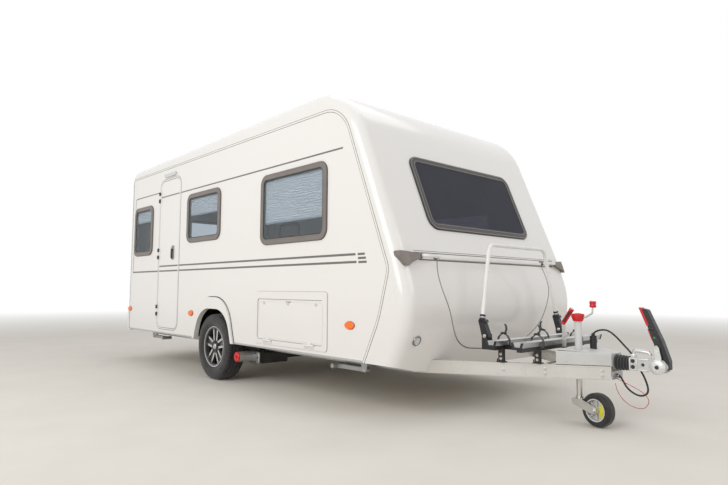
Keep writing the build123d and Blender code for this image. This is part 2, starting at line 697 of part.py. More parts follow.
REFLECTOR_Y = 1001.0
REFLECTOR_Z = 573.0
disc = rod((1500, -REFLECTOR_Y, REFLECTOR_Z), (2300, -REFLECTOR_Y, REFLECTOR_Z), 34)
reflector = (disc & body_solid(-8.0)) - outer
reflector -= block(0, 1650, -FAR, FAR, 0, FAR)

# Awning lamp above the door
AWNING_LAMP = SideWindow(-2067.0, -1755.0, 2282.0, 2322.0)
AWNING_LAMP_PROUD = 20.0
awning_lamp = right_wall_prism(rounded_face(rectangle(AWNING_LAMP, 15)), -AWNING_LAMP_PROUD, 0)
save("clear_lamps", reflector, mirror_y(reflector), awning_lamp)

# Rear bumper and lamps
BUMPER_TOP_Z = 700.0
BUMPER_LOW_Z = 372.0
BUMPER_INSET = 30.0
BUMPER_HALF_WIDTH = BODY_HALF_WIDTH - BUMPER_INSET
BUMPER_DEPTH = 90.0
LAMP_HALF_HEIGHT = 75.0
LAMP_Z = 560.0
bumper_face_x = REAR_FOOT_X - BUMPER_DEPTH
bumper_side = (
    (REAR_FOOT_X + 40, BUMPER_LOW_Z, 0),
    (REAR_FOOT_X + 40, BUMPER_TOP_Z, 0),
    (REAR_FOOT_X - 8, BUMPER_TOP_Z, 0),
    (bumper_face_x, BUMPER_TOP_Z - 70, 30.0),
    (bumper_face_x, BUMPER_LOW_Z + 60, 40.0),
    (bumper_face_x + 30, BUMPER_LOW_Z, 20.0),
)
bumper = along_y(rounded_face(bumper_side), -BUMPER_HALF_WIDTH, BUMPER_HALF_WIDTH)
bumper -= outer
bumper = bumper.solids().sort_by(SortBy.VOLUME)[-1]
LAMP_LENGTH = 360.0
LAMP_HIGH_Y = BUMPER_HALF_WIDTH - 50.0
LAMP_LOW_Y = LAMP_HIGH_Y - LAMP_LENGTH
LAMP_SINK = 25.0
lamp_space = block(
    bumper_face_x - 10, bumper_face_x + LAMP_SINK, LAMP_LOW_Y, LAMP_HIGH_Y,
    LAMP_Z - LAMP_HALF_HEIGHT, LAMP_Z + LAMP_HALF_HEIGHT,
)
bumper -= lamp_space + mirror_y(lamp_space)
PLATE_HALF_WIDTH = 265.0
PLATE_HALF_HEIGHT = 60.0
bumper -= block(
    bumper_face_x - 10, bumper_face_x + 10, -PLATE_HALF_WIDTH, PLATE_HALF_WIDTH,
    LAMP_Z - PLATE_HALF_HEIGHT, LAMP_Z + PLATE_HALF_HEIGHT,
)
save("rear_bumper", bumper)
rear_lamp_set = []
LENS_GAP = 2.0
lens_count = 3
lens_step = (LAMP_HIGH_Y - LAMP_LOW_Y) / lens_count
for index in range(lens_count):
    low_y = LAMP_LOW_Y + index * lens_step + LENS_GAP / 2
    lens = block(
        bumper_face_x, bumper_face_x + LAMP_SINK, low_y, low_y + lens_step - LENS_GAP,
        LAMP_Z - LAMP_HALF_HEIGHT + 1, LAMP_Z + LAMP_HALF_HEIGHT - 1,
    )
    lens = fillet(lens.edges().filter_by(lambda e: e.center().X < bumper_face_x + 1), 6)
    rear_lamp_set += [lens, mirror_y(lens)]
save("rear_lamps", *rear_lamp_set)


# Axle, wheels and tyres
def axle_side():
    """Trailing arm, spindle and mounting bracket on the right."""
    tube_end = TRACK_HALF_WIDTH - TYRE_WIDTH / 2 - 62
    arm_y = tube_end - 4
    arm = rod((AXLE_TUBE_X, -arm_y, AXLE_TUBE_Z), (AXLE_TUBE_X, -arm_y - 34, AXLE_TUBE_Z), 62)
    arm += rod((AXLE_X, -arm_y, TYRE_RADIUS), (AXLE_X, -arm_y - 34, TYRE_RADIUS), 46)
    reach = Vector(AXLE_X - AXLE_TUBE_X, 0, TYRE_RADIUS - AXLE_TUBE_Z)
    middle = Vector(AXLE_TUBE_X, -arm_y - 17, AXLE_TUBE_Z) + reach * 0.5
    angle = degrees(atan2(-reach.Z, reach.X))
    arm += Location((middle.X, middle.Y, middle.Z), (0, angle, 0)) * Box(reach.length, 34, 84)
    spindle = rod((AXLE_X, -arm_y - 20, TYRE_RADIUS), (AXLE_X, -TRACK_HALF_WIDTH - 30, TYRE_RADIUS), SPINDLE_RADIUS)
    plate = rod((AXLE_X, -arm_y - 34, TYRE_RADIUS), (AXLE_X, -arm_y - 42, TYRE_RADIUS), 128)
    seat_low_z = AXLE_TUBE_Z
    bracket = block(
        AXLE_TUBE_X - 70, AXLE_TUBE_X + 70, -RAIL_HALF_WIDTH - 8, -RAIL_HALF_WIDTH, seat_low_z - 30, CHASSIS_TOP_Z - 4
    )
    return arm + spindle + plate + bracket


axle = pipe(
    (AXLE_TUBE_X, -(TRACK_HALF_WIDTH - TYRE_WIDTH / 2 - 62), AXLE_TUBE_Z),
    (AXLE_TUBE_X, TRACK_HALF_WIDTH - TYRE_WIDTH / 2 - 62, AXLE_TUBE_Z),
    AXLE_TUBE_RADIUS,
    AXLE_TUBE_RADIUS - AXLE_TUBE_SKIN,
)
axle += axle_side()
axle += mirror_y(axle_side())
save("axle", axle)


def wheel_plane(side):
    """Revolve plane of a wheel: local X is the radius, local Y runs outward from the caravan."""
    return Plane(origin=(AXLE_X, side * TRACK_HALF_WIDTH, TYRE_RADIUS), x_dir=(0, 0, 1), z_dir=(-side, 0, 0))


def turned(outline, side):
    """Ring turned about the axle from radius and outward position pairs with corner radii."""
    axis = Axis((AXLE_X, side * TRACK_HALF_WIDTH, TYRE_RADIUS), (0, 1, 0))
    plane = wheel_plane(side)
    return revolve(plane * rounded_face(outline), axis, 360)


half_tyre = TYRE_WIDTH / 2
bead = RIM_SEAT_RADIUS + 0.3
TYRE_SKIN = 13.0
tyre_outline = (
    (bead, -78.0, 2.0),
    (RIM_FLANGE_RADIUS + 2, -78.5, 3.0),
    (RIM_FLANGE_RADIUS + 8, -half_tyre + 12, 8.0),
    (270.0, -half_tyre, 60.0),
    (TYRE_RADIUS - 14, -half_tyre + 10, 14.0),
    (TYRE_RADIUS, -half_tyre + 26, 10.0),
    (TYRE_RADIUS, half_tyre - 26, 10.0),
    (TYRE_RADIUS - 14, half_tyre - 10, 14.0),
    (270.0, half_tyre, 60.0),
    (RIM_FLANGE_RADIUS + 8, half_tyre - 12, 8.0),
    (RIM_FLANGE_RADIUS + 2, 78.5, 3.0),
    (bead, 78.0, 2.0),
    (bead, 60.0, 3.0),
    (RIM_FLANGE_RADIUS + 6, half_tyre - 14 - TYRE_SKIN, 10.0),
    (270.0, half_tyre - TYRE_SKIN, 46.0),
    (TYRE_RADIUS - 22, half_tyre - 12 - TYRE_SKIN, 14.0),
    (TYRE_RADIUS - 22, -half_tyre + 12 + TYRE_SKIN, 14.0),
    (270.0, -half_tyre + TYRE_SKIN, 46.0),
    (RIM_FLANGE_RADIUS + 6, -half_tyre + 14 + TYRE_SKIN, 10.0),
    (bead, -60.0, 3.0),
)
rim_outline = (
    (RIM_FLANGE_RADIUS, -88.0, 2.0),
    (RIM_FLANGE_RADIUS, -80.0, 2.0),
    (RIM_SEAT_RADIUS, -79.0, 2.0),
    (RIM_SEAT_RADIUS, 79.0, 2.0),
    (RIM_FLANGE_RADIUS, 80.0, 2.0),
    (RIM_FLANGE_RADIUS, 88.0, 2.0),
    (RIM_SEAT_RADIUS - RIM_SKIN, 84.0, 3.0),
    (RIM_SEAT_RADIUS - RIM_SKIN, -84.0, 3.0),
)
HUB_FACE = 68.0
SPOKE_OUTLINE = (
    (14.0, 50.0, 0),
    (36.0, 50.0, 0),
    (54.0, 187.0, 0),
    (31.0, 187.0, 0),
)
SPOKE_POCKET = (
    (-16.0, 50.0, 0),
    (16.0, 50.0, 0),
    (33.0, 187.0, 0),
    (-33.0, 187.0, 0),
)
SPOKE_DEPTH = 30.0
HUB_DEPTH = 34.0
POCKET_DEPTH = 13.0


def alloy_rim(side):
    """Cast rim with five double spokes that each have a pocket, a hub and the brake drum behind."""
    rim = turned(rim_outline, side)
    plane = Plane(
        origin=(AXLE_X, side * (TRACK_HALF_WIDTH + HUB_FACE), TYRE_RADIUS), x_dir=(side, 0, 0), z_dir=(0, -side, 0)
    )
    spokes = extrude(plane * Circle(58), amount=HUB_DEPTH)
    for index in range(SPOKE_COUNT):
        turn = Rot(0, 0, 360 / SPOKE_COUNT * index)
        for hand in (-1, 1):
            outline = rounded_face([(hand * x, y, r) for x, y, r in SPOKE_OUTLINE])
            spokes += extrude(plane * turn * outline, amount=SPOKE_DEPTH)
        pocket_floor = plane * turn * Pos(0, 0, POCKET_DEPTH) * rounded_face(SPOKE_POCKET)
        spokes += extrude(pocket_floor, amount=SPOKE_DEPTH - POCKET_DEPTH)
    spokes &= extrude(plane * Circle(RIM_SEAT_RADIUS - RIM_SKIN / 2), amount=HUB_DEPTH)
    drum = extrude(
        Plane(origin=plane.origin + plane.z_dir * HUB_DEPTH, x_dir=plane.x_dir, z_dir=plane.z_dir) * Circle(66),
        amount=30,
    )
    drum += extrude(
        Plane(origin=plane.origin + plane.z_dir * 56, x_dir=plane.x_dir, z_dir=plane.z_dir) * Circle(118), amount=62
    )
    whole = rim + spokes + drum
    bore_start = plane.origin + plane.z_dir * 20
    bore = extrude(
        Plane(origin=bore_start, x_dir=plane.x_dir, z_dir=plane.z_dir) * Circle(SPINDLE_RADIUS + 0.1), amount=200
    )
    return whole - bore


for side, label in ((-1, "right"), (1, "left")):
    save(f"tyre_{label}", turned(tyre_outline, side))
    save(f"rim_{label}", alloy_rim(side))


# Drawbar cover, bellows and coupling head
COVER_LENGTH = 305.0
COVER_FRONT_X = DRAWBAR_TIP_X + 2.0
COVER_REAR_X = COVER_FRONT_X - COVER_LENGTH
COVER_REAR_TOP_Z = 520.0
COVER_FRONT_TOP_Z = 497.0
COVER_FOOT_Z = CHASSIS_TOP_Z
COVER_SKIN = 4.0
BELLOWS_LENGTH = 98.0
BELLOWS_FRONT_X = COVER_FRONT_X + BELLOWS_LENGTH
BELLOWS_RADIUS = 56.0
JOCKEY_SETBACK = 220.0
JOCKEY_X = DRAWBAR_TIP_X - JOCKEY_SETBACK
JOCKEY_Y = -105.0
JOCKEY_TUBE_RADIUS = 25.0
HANDBRAKE_SETBACK = 340.0
HANDBRAKE_X = DRAWBAR_TIP_X - HANDBRAKE_SETBACK
HANDBRAKE_Y = -72.0


def drawbar_y(x):
    """Outer face of the drawbar beam at a value of X, as a positive half width."""
    return DRAWBAR_TIP_HALF_WIDTH + DRAWBAR_SLOPE * (DRAWBAR_TIP_X - x)


def cover_form(distance):
    """Tapered cover over the front of the drawbar, moved inward by a distance."""
    plan = make_face(
        Polyline(
            (COVER_REAR_X + distance, -drawbar_y(COVER_REAR_X) + distance, 0),
            (COVER_FRONT_X - distance, -drawbar_y(COVER_FRONT_X) + distance * 1.2, 0),
            (COVER_FRONT_X - distance, drawbar_y(COVER_FRONT_X) - distance * 1.2, 0),
            (COVER_REAR_X + distance, drawbar_y(COVER_REAR_X) - distance, 0),
            close=True,
        )
    )
    column = along_z(plan, COVER_FOOT_Z - (1 if distance else 0), 600)
    side = make_face(
        Polyline(
            (COVER_REAR_X - 1, COVER_FOOT_Z - 5, 0),
            (COVER_FRONT_X + 1, COVER_FOOT_Z - 5, 0),
            (COVER_FRONT_X + 1, COVER_FRONT_TOP_Z - distance, 0),
            (COVER_REAR_X - 1, COVER_REAR_TOP_Z - distance, 0),
            close=True,
        )
    )
    return column & along_y(side, -FAR, FAR)


cover = cover_form(0)
cover = fillet(
    [e for e in cover.edges() if e.center().Z > COVER_FRONT_TOP_Z - 12 and abs(e.center().Y) > 20], 16
)
cover -= cover_form(COVER_SKIN)
cover -= rod((COVER_REAR_X - 180, 0, COUPLING_Z), (BELLOWS_FRONT_X, 0, COUPLING_Z), BELLOWS_RADIUS - 8)
cover -= rod((JOCKEY_X, JOCKEY_Y, 300), (JOCKEY_X, JOCKEY_Y, 700), JOCKEY_TUBE_RADIUS + 4)
save("drawbar_cover", cover)

# Cross plates that carry the overrun tube between the drawbar beams
PLATE_THICKNESS = 8.0
OVERRUN_RADIUS = 38.0
OVERRUN_SKIN = 6.0
OVERRUN_LENGTH = 415.0
OVERRUN_REAR_X = DRAWBAR_TIP_X - OVERRUN_LENGTH
OVERRUN_PLATE_SETBACKS = (365.0, 45.0)
TONGUE_END_SETBACK = 98.0
PLATE_FLANGE = 12.0
PLATE_NECK_HALF = 48.0
overrun = pipe(
    (OVERRUN_REAR_X, 0, COUPLING_Z), (COVER_FRONT_X - 4, 0, COUPLING_Z), OVERRUN_RADIUS, OVERRUN_RADIUS - OVERRUN_SKIN
)
for plate_setback in OVERRUN_PLATE_SETBACKS:
    plate_x = DRAWBAR_TIP_X - plate_setback
    reach = drawbar_y(plate_x + PLATE_THICKNESS) - 12
    outline = make_face(
        Polyline(
            (-reach, CHASSIS_TOP_Z),
            (-PLATE_NECK_HALF, CHASSIS_TOP_Z),
            (-PLATE_NECK_HALF, CHASSIS_TOP_Z - 40),
            (PLATE_NECK_HALF, CHASSIS_TOP_Z - 40),
            (PLATE_NECK_HALF, CHASSIS_TOP_Z),
            (reach, CHASSIS_TOP_Z),
            (reach, CHASSIS_TOP_Z + PLATE_FLANGE),
            (PLATE_NECK_HALF, CHASSIS_TOP_Z + PLATE_FLANGE),
            (PLATE_NECK_HALF, CHASSIS_TOP_Z + 72),
            (-PLATE_NECK_HALF, CHASSIS_TOP_Z + 72),
            (-PLATE_NECK_HALF, CHASSIS_TOP_Z + PLATE_FLANGE),
            (-reach, CHASSIS_TOP_Z + PLATE_FLANGE),
            close=True,
        )
    )
    outline -= Pos(0, COUPLING_Z) * Circle(OVERRUN_RADIUS - OVERRUN_SKIN / 2)
    overrun += along_x(outline, plate_x, plate_x + PLATE_THICKNESS)
tongue_radius = OVERRUN_RADIUS - OVERRUN_SKIN - SEAT_GAP
tongue_front = (BALL_X - TONGUE_END_SETBACK, 0, COUPLING_Z)
tongue = rod((OVERRUN_REAR_X + 30, 0, COUPLING_Z), tongue_front, tongue_radius)
save("overrun_housing", overrun)

BELLOWS_RIBS = 5
rib_length = (BELLOWS_FRONT_X - COVER_FRONT_X) / BELLOWS_RIBS
bellows_points = [(COVER_FRONT_X + 0.3, OVERRUN_RADIUS - 5.8)]
for index in range(BELLOWS_RIBS):
    start_x = COVER_FRONT_X + 0.3 + index * rib_length
    bellows_points.append((start_x, BELLOWS_RADIUS - 12 - index))
    bellows_points.append((start_x + rib_length * 0.5, BELLOWS_RADIUS - index * 1.5))
bellows_points.append((BELLOWS_FRONT_X, BELLOWS_RADIUS - 16))
bellows_points.append((BELLOWS_FRONT_X, OVERRUN_RADIUS - 5.8))
profile = make_face(Polyline(*[(x, COUPLING_Z + r, 0) for x, r in bellows_points], close=True))
profile_plane = Plane(origin=(0, 0, 0), x_dir=(1, 0, 0), z_dir=(0, -1, 0))
bellows = revolve(profile_plane * profile, Axis((0, 0, COUPLING_Z), (1, 0, 0)), 360)
save("bellows", bellows)

HEAD_HALF_WIDTH = 38.0
HEAD_REAR_X = BELLOWS_FRONT_X + 1
head_side = (
    (HEAD_REAR_X, COUPLING_Z - 42, 6.0),
    (BALL_X - 60, COUPLING_Z - 42, 30.0),
    (BALL_X - 34, COUPLING_Z - 30, 10.0),
    (BALL_X + 40, COUPLING_Z - 30, 26.0),
    (BALL_X + 62, COUPLING_Z + 2, 22.0),
    (BALL_X + 30, COUPLING_Z + 44, 30.0),
    (BALL_X - 60, COUPLING_Z + 50, 20.0),
    (HEAD_REAR_X, COUPLING_Z + 44, 8.0),
)
head = along_y(rounded_face(head_side), -HEAD_HALF_WIDTH, HEAD_HALF_WIDTH)
head -= rod((HEAD_REAR_X - 5, 0, COUPLING_Z), tongue_front, tongue_radius)
head += tongue
CHEEK_RADIUS = 48.0
CHEEK_HALF_WIDTH = 60.0
cheeks = rod((BALL_X, -CHEEK_HALF_WIDTH, COUPLING_Z - 2), (BALL_X, CHEEK_HALF_WIDTH, COUPLING_Z - 2), CHEEK_RADIUS)
cheeks -= block(BALL_X - 80, BALL_X + 80, -46, 46, COUPLING_Z - 80, COUPLING_Z - 28)
head += cheeks
head -= rod((BALL_X, 0, COUPLING_Z - 80), (BALL_X, 0, COUPLING_Z + 4), BALL_RADIUS)
head -= Pos(BALL_X, 0, COUPLING_Z + 4) * Sphere(BALL_RADIUS)
front_grip = bent_rod(
    (
        (HEAD_REAR_X + 20, 0, COUPLING_Z + 40),
        (HEAD_REAR_X + 20, 0, COUPLING_Z + 98),
        (BALL_X - 70, 0, COUPLING_Z + 84),
    ),
    20.0,
    11.0,
)
upright = rod((BALL_X - 22, 0, COUPLING_Z + 40), (BALL_X - 30, 0, COUPLING_Z + 128), 12)
head += front_grip + upright

# Stabiliser lever over the head, and its grip
LEVER_REACH = 62.0
LEVER_FRONT_X = BALL_X + LEVER_REACH
LEVER_HALF_WIDTH = 26.0
lever_side = (
    (BALL_X + 8, COUPLING_Z + 40, 0),
    (BALL_X + 34, COUPLING_Z - 28, 8.0),
    (LEVER_FRONT_X, COUPLING_Z - 18, 8.0),
    (LEVER_FRONT_X, COUPLING_Z + 40, 20.0),
    (BALL_X + 22, 600.0, 90.0),
    (BALL_X - 66, 806.0, 12.0),
    (BALL_X - 116, 818.0, 12.0),
    (BALL_X - 68, 700.0, 60.0),
    (BALL_X - 24, 560.0, 60.0),
)
lever = along_y(rounded_face(lever_side), -LEVER_HALF_WIDTH, LEVER_HALF_WIDTH)
lever -= head
lever_top = lever.solids().sort_by(SortBy.VOLUME)[-1]
save("stabiliser_lever", lever_top)
save("coupling_head", head)

# Handbrake lever
BRAKE_TOP_Z = 800.0
BRAKE_GRIP_LOW_Z = 694.0
BRAKE_GRIP_LEAN = 74.0
brake_post = block(
    HANDBRAKE_X - 20, HANDBRAKE_X + 6, HANDBRAKE_Y - 5, HANDBRAKE_Y + 5, COUPLING_Z + OVERRUN_RADIUS, BRAKE_GRIP_LOW_Z + 12
)
brake_grip = rod(
    (HANDBRAKE_X - 12, HANDBRAKE_Y, BRAKE_GRIP_LOW_Z),
    (HANDBRAKE_X - 12 + BRAKE_GRIP_LEAN, HANDBRAKE_Y, BRAKE_TOP_Z),
    15,
)
brake_foot = block(
    HANDBRAKE_X - 14, HANDBRAKE_X + 24, HANDBRAKE_Y - 10, HANDBRAKE_Y + 60,
    COUPLING_Z - 8, COUPLING_Z + OVERRUN_RADIUS + 20,
)
brake = brake_post + brake_grip + brake_foot
brake -= rod((OVERRUN_REAR_X, 0, COUPLING_Z), (BELLOWS_FRONT_X, 0, COUPLING_Z), OVERRUN_RADIUS)
save("handbrake_lever", brake)

# Jockey wheel
JOCKEY_RADIUS = 115.0
JOCKEY_WIDTH = 78.0
JOCKEY_TRAIL = 150.0
JOCKEY_TURN = -12.5
JOCKEY_COLLAR_Z = 713.0
JOCKEY_TUBE_LOW_Z = 325.0
JOCKEY_INNER_RADIUS = 20.5
JOCKEY_SLIDE_GAP = 0.4
jockey_tube = pipe(
    (JOCKEY_X, JOCKEY_Y, JOCKEY_TUBE_LOW_Z), (JOCKEY_X, JOCKEY_Y, JOCKEY_COLLAR_Z),
    JOCKEY_TUBE_RADIUS, JOCKEY_INNER_RADIUS + JOCKEY_SLIDE_GAP,
)
clamp = block(JOCKEY_X - 45, JOCKEY_X + 45, -drawbar_y(JOCKEY_X), JOCKEY_Y + 40, 350, 395)
clamp -= rod((JOCKEY_X, JOCKEY_Y, 300), (JOCKEY_X, JOCKEY_Y, 500), JOCKEY_TUBE_RADIUS - 2)
clamp -= drawbar_right
clamp = clamp.solids().sort_by(SortBy.VOLUME)[-1]
save("jockey_outer_tube", jockey_tube + clamp)
COLLAR_RADIUS = 43.0
collar_low = Plane(origin=(JOCKEY_X, JOCKEY_Y, JOCKEY_COLLAR_Z)) * Circle(COLLAR_RADIUS - 10)
collar_rim = Plane(origin=(JOCKEY_X, JOCKEY_Y, JOCKEY_COLLAR_Z + 24)) * Circle(COLLAR_RADIUS)
collar = loft([collar_low, collar_rim])
collar += rod((JOCKEY_X, JOCKEY_Y, JOCKEY_COLLAR_Z + 24), (JOCKEY_X, JOCKEY_Y, JOCKEY_COLLAR_Z + 50), COLLAR_RADIUS)
crank = bent_rod(
    (
        (JOCKEY_X, JOCKEY_Y, JOCKEY_COLLAR_Z + 30),
        (JOCKEY_X + 60, JOCKEY_Y, JOCKEY_COLLAR_Z + 30),
        (JOCKEY_X + 108, JOCKEY_Y, JOCKEY_COLLAR_Z + 60),
        (JOCKEY_X + 112, JOCKEY_Y, JOCKEY_COLLAR_Z + 104),
    ),
    14.0,
    6.0,
)
knob = rod((JOCKEY_X + 112, JOCKEY_Y, JOCKEY_COLLAR_Z + 100), (JOCKEY_X + 114, JOCKEY_Y, JOCKEY_COLLAR_Z + 145), 20)
save("jockey_crank", collar + crank + knob)

JOCKEY_INNER_TOP_Z = 625.0
JOCKEY_STEM_Z = 175.0
inner_tube = pipe(
    (JOCKEY_X, JOCKEY_Y, JOCKEY_STEM_Z), (JOCKEY_X, JOCKEY_Y, JOCKEY_INNER_TOP_Z),
    JOCKEY_INNER_RADIUS, JOCKEY_INNER_RADIUS - 4,
)
inner_tube += rod((JOCKEY_X, JOCKEY_Y, JOCKEY_STEM_Z), (JOCKEY_X, JOCKEY_Y, JOCKEY_STEM_Z + 12), JOCKEY_INNER_RADIUS + 5)
JOCKEY_PIN_RADIUS = 8.0
inner_tube += rod((JOCKEY_X, JOCKEY_Y, JOCKEY_STEM_Z - 26), (JOCKEY_X, JOCKEY_Y, JOCKEY_STEM_Z + 6), JOCKEY_PIN_RADIUS)
save("jockey_inner_tube", inner_tube)

turn = Location((JOCKEY_X, JOCKEY_Y, 0), (0, 0, JOCKEY_TURN))
FORK_HALF = JOCKEY_WIDTH / 2 + 8
FORK_SKIN = 6.0
head_plate = Pos(15, 0, JOCKEY_STEM_Z - 11) * Box(86, 2 * FORK_HALF + 2 * FORK_SKIN, 20)
head_plate -= Pos(0, 0, JOCKEY_STEM_Z - 11) * Cylinder(JOCKEY_PIN_RADIUS + 0.1, 40)
fork = head_plate
AXLE_PIN_RADIUS = 9.0
for hand in (-1, 1):
    plane = Plane(origin=(0, hand * (FORK_HALF + FORK_SKIN / 2) + FORK_SKIN / 2, 0), x_dir=(1, 0, 0), z_dir=(0, -1, 0))
    arm = rounded_face(
        (
            (-26.0, JOCKEY_STEM_Z - 1, 4.0),
            (-26.0, JOCKEY_STEM_Z - 44, 16.0),
            (JOCKEY_TRAIL - 18, JOCKEY_RADIUS - 24, 16.0),
            (JOCKEY_TRAIL + 22, JOCKEY_RADIUS - 20, 20.0),
            (JOCKEY_TRAIL + 22, JOCKEY_RADIUS + 22, 20.0),
            (56.0, JOCKEY_STEM_Z - 1, 20.0),
        )
    )
    fork += extrude(plane * arm, amount=FORK_SKIN)
axle_pin = Pos(JOCKEY_TRAIL, 0, JOCKEY_RADIUS) * (Rot(90, 0, 0) * Cylinder(AXLE_PIN_RADIUS, 2 * FORK_HALF + 2 * FORK_SKIN + 6))
fork += axle_pin
tyre_room = Pos(JOCKEY_TRAIL, 0, JOCKEY_RADIUS) * (Rot(90, 0, 0) * Cylinder(JOCKEY_RADIUS + 6, JOCKEY_WIDTH + 4))
tyre_room -= Pos(JOCKEY_TRAIL, 0, JOCKEY_RADIUS) * (Rot(90, 0, 0) * Cylinder(AXLE_PIN_RADIUS, JOCKEY_WIDTH + 10))
fork -= tyre_room
save("jockey_fork", turn * fork)

hub_axis = Pos(JOCKEY_TRAIL, 0, JOCKEY_RADIUS) * Rot(90, 0, 0)
caster_tyre = hub_axis * (Cylinder(JOCKEY_RADIUS, JOCKEY_WIDTH) - Cylinder(78.3, JOCKEY_WIDTH + 2))
caster_tyre = fillet(caster_tyre.edges().filter_by(lambda e: abs(e.length - 2 * 3.14159265 * JOCKEY_RADIUS) < 2), 24)
caster_rim = Cylinder(78, JOCKEY_WIDTH - 12) - Cylinder(70, JOCKEY_WIDTH)
caster_rim += Cylinder(72, 12)
caster_rim += Cylinder(24, JOCKEY_WIDTH)
caster_rim -= Cylinder(AXLE_PIN_RADIUS + 0.1, JOCKEY_WIDTH + 10)
save("jockey_tyre", turn * caster_tyre)
save("jockey_rim", turn * (hub_axis * caster_rim))


# Corner steadies under the floor
Steady = namedtuple("Steady", "label x side ahead")
STEADIES = (
    Steady("front_right", 1270.0, -1, -1),
    Steady("front_left", 1270.0, 1, -1),
    Steady("rear_right", -2880.0, -1, 1),
    Steady("rear_left", -2880.0, 1, 1),
)
STEADY_OFFSET = 55.0
STEADY_Y = RAIL_HALF_WIDTH + STEADY_OFFSET
STEADY_PIVOT_Z = 292.0
STEADY_LENGTH = 360.0
STEADY_HALF_WIDTH = 18.0
STEADY_PIN_RADIUS = 7.0
STEADY_CHEEK = 5.0
brackets = []
for steady in STEADIES:
    place = Location((steady.x, steady.side * STEADY_Y, 0))
    sign = steady.ahead
    arm = Pos(sign * STEADY_LENGTH / 2, 0, STEADY_PIVOT_Z) * Box(STEADY_LENGTH, 2 * STEADY_HALF_WIDTH, 34)
    arm -= Pos(sign * (STEADY_LENGTH / 2 + 10), 0, STEADY_PIVOT_Z + 5) * Box(STEADY_LENGTH - 60, 2 * STEADY_HALF_WIDTH - 8, 34)
    arm += Pos(0, 0, STEADY_PIVOT_Z) * (Rot(90, 0, 0) * Cylinder(17, 2 * STEADY_HALF_WIDTH))
    arm -= Pos(0, 0, STEADY_PIVOT_Z) * (Rot(90, 0, 0) * Cylinder(STEADY_PIN_RADIUS + 0.1, 100))
    arm += Pos(sign * (STEADY_LENGTH - 4), 0, STEADY_PIVOT_Z) * (Rot(90, 0, 0) * Cylinder(20, 120))
    save(f"steady_{steady.label}", place * arm)
    bracket = Pos(0, 0, CHASSIS_TOP_Z - 4) * Box(120, 2 * STEADY_HALF_WIDTH + 60, 8)
    for hand in (-1, 1):
        cheek = rounded_face(
            (
                (-50.0, CHASSIS_TOP_Z - 2, 0),
                (-24.0, STEADY_PIVOT_Z - 18, 16.0),
                (24.0, STEADY_PIVOT_Z - 18, 16.0),
                (50.0, CHASSIS_TOP_Z - 2, 0),
            )
        )
        low = hand * (STEADY_HALF_WIDTH + 1 + STEADY_CHEEK / 2) - STEADY_CHEEK / 2
        bracket += along_y(cheek, low, low + STEADY_CHEEK)
    bracket += Pos(0, 0, STEADY_PIVOT_Z) * (
        Rot(90, 0, 0) * Cylinder(STEADY_PIN_RADIUS, 2 * STEADY_HALF_WIDTH + 2 + 2 * STEADY_CHEEK)
    )
    brackets.append(place * bracket)
save("steady_brackets", *brackets)

# Motor mover ahead of the wheels
MOVER_REACH = 430.0
MOVER_X = AXLE_X + MOVER_REACH
MOVER_Z = 265.0
MOVER_ROLLER_RADIUS = 45.0
mover_sides = []
ROLLER_OUT = 65.0
ROLLER_LENGTH = 180.0
GEARBOX_WIDTH = 90.0
MOTOR_LENGTH = 285.0
roller_end = TRACK_HALF_WIDTH + ROLLER_OUT
gearbox_in = RAIL_HALF_WIDTH + 15
motor_in = gearbox_in - MOTOR_LENGTH
roller = rod((MOVER_X, -roller_end, MOVER_Z), (MOVER_X, -roller_end + ROLLER_LENGTH, MOVER_Z), MOVER_ROLLER_RADIUS)
roller += rod((MOVER_X, -roller_end - 15, MOVER_Z), (MOVER_X, -motor_in - 40, MOVER_Z), 12)
gearbox = block(
    MOVER_X - 60, MOVER_X + 75, -gearbox_in - GEARBOX_WIDTH, -gearbox_in, MOVER_Z - 75, MOVER_Z + 48
)
motor = block(MOVER_X - 55, MOVER_X + 60, -gearbox_in, -motor_in, MOVER_Z - 85, MOVER_Z + 35)
hanger = block(MOVER_X - 30, MOVER_X + 50, -RAIL_HALF_WIDTH - 6, -RAIL_HALF_WIDTH, MOVER_Z, CHASSIS_TOP_Z - 4)
mover = roller + fillet(gearbox.edges().filter_by(Axis.Y), 18) + fillet(motor.edges().filter_by(Axis.Y), 24) + hanger
bar_half = motor_in + 5
bar = rod((MOVER_X + 10, -bar_half, MOVER_Z - 30), (MOVER_X + 10, bar_half, MOVER_Z - 30), 20)
save("mover", mover + bar + mirror_y(mover))

# Cross members between the rails
cross_members = []
CROSS_HALF = RAIL_HALF_WIDTH - CHASSIS_SKIN - SEAT_GAP
for member_x in (-2700.0, -1500.0, 900.0):
    member = block(member_x - 30, member_x + 30, -CROSS_HALF, CROSS_HALF, RAIL_Z_LOW + 6, CHASSIS_TOP_Z - 6)
    member -= block(member_x - 24, member_x + 31, -FAR, FAR, RAIL_Z_LOW + 12, CHASSIS_TOP_Z - 12)
    cross_members.append(member)
save("cross_members", *cross_members)


# Bicycle rack on the drawbar
HOOP_FOOT = (2184.0, 600.0)
HOOP_HEEL = (2148.0, 730.0)
HOOP_TOP = (2122.0, 1277.0)
HOOP_FOOT_HALF = 536.0
HOOP_TOP_HALF = 400.0
HOOP_RADIUS = 15.0
hoop = bent_rod(
    (
        (HOOP_FOOT[0], -HOOP_FOOT_HALF, HOOP_FOOT[1]),
        (HOOP_HEEL[0], -HOOP_FOOT_HALF, HOOP_HEEL[1]),
        (HOOP_TOP[0], -HOOP_TOP_HALF, HOOP_TOP[1]),
        (HOOP_TOP[0], HOOP_TOP_HALF, HOOP_TOP[1]),
        (HOOP_HEEL[0], HOOP_FOOT_HALF, HOOP_HEEL[1]),
        (HOOP_FOOT[0], HOOP_FOOT_HALF, HOOP_FOOT[1]),
    ),
    70.0,
    HOOP_RADIUS,
)
RACK_PIN_RADIUS = 7.0
shoes = []
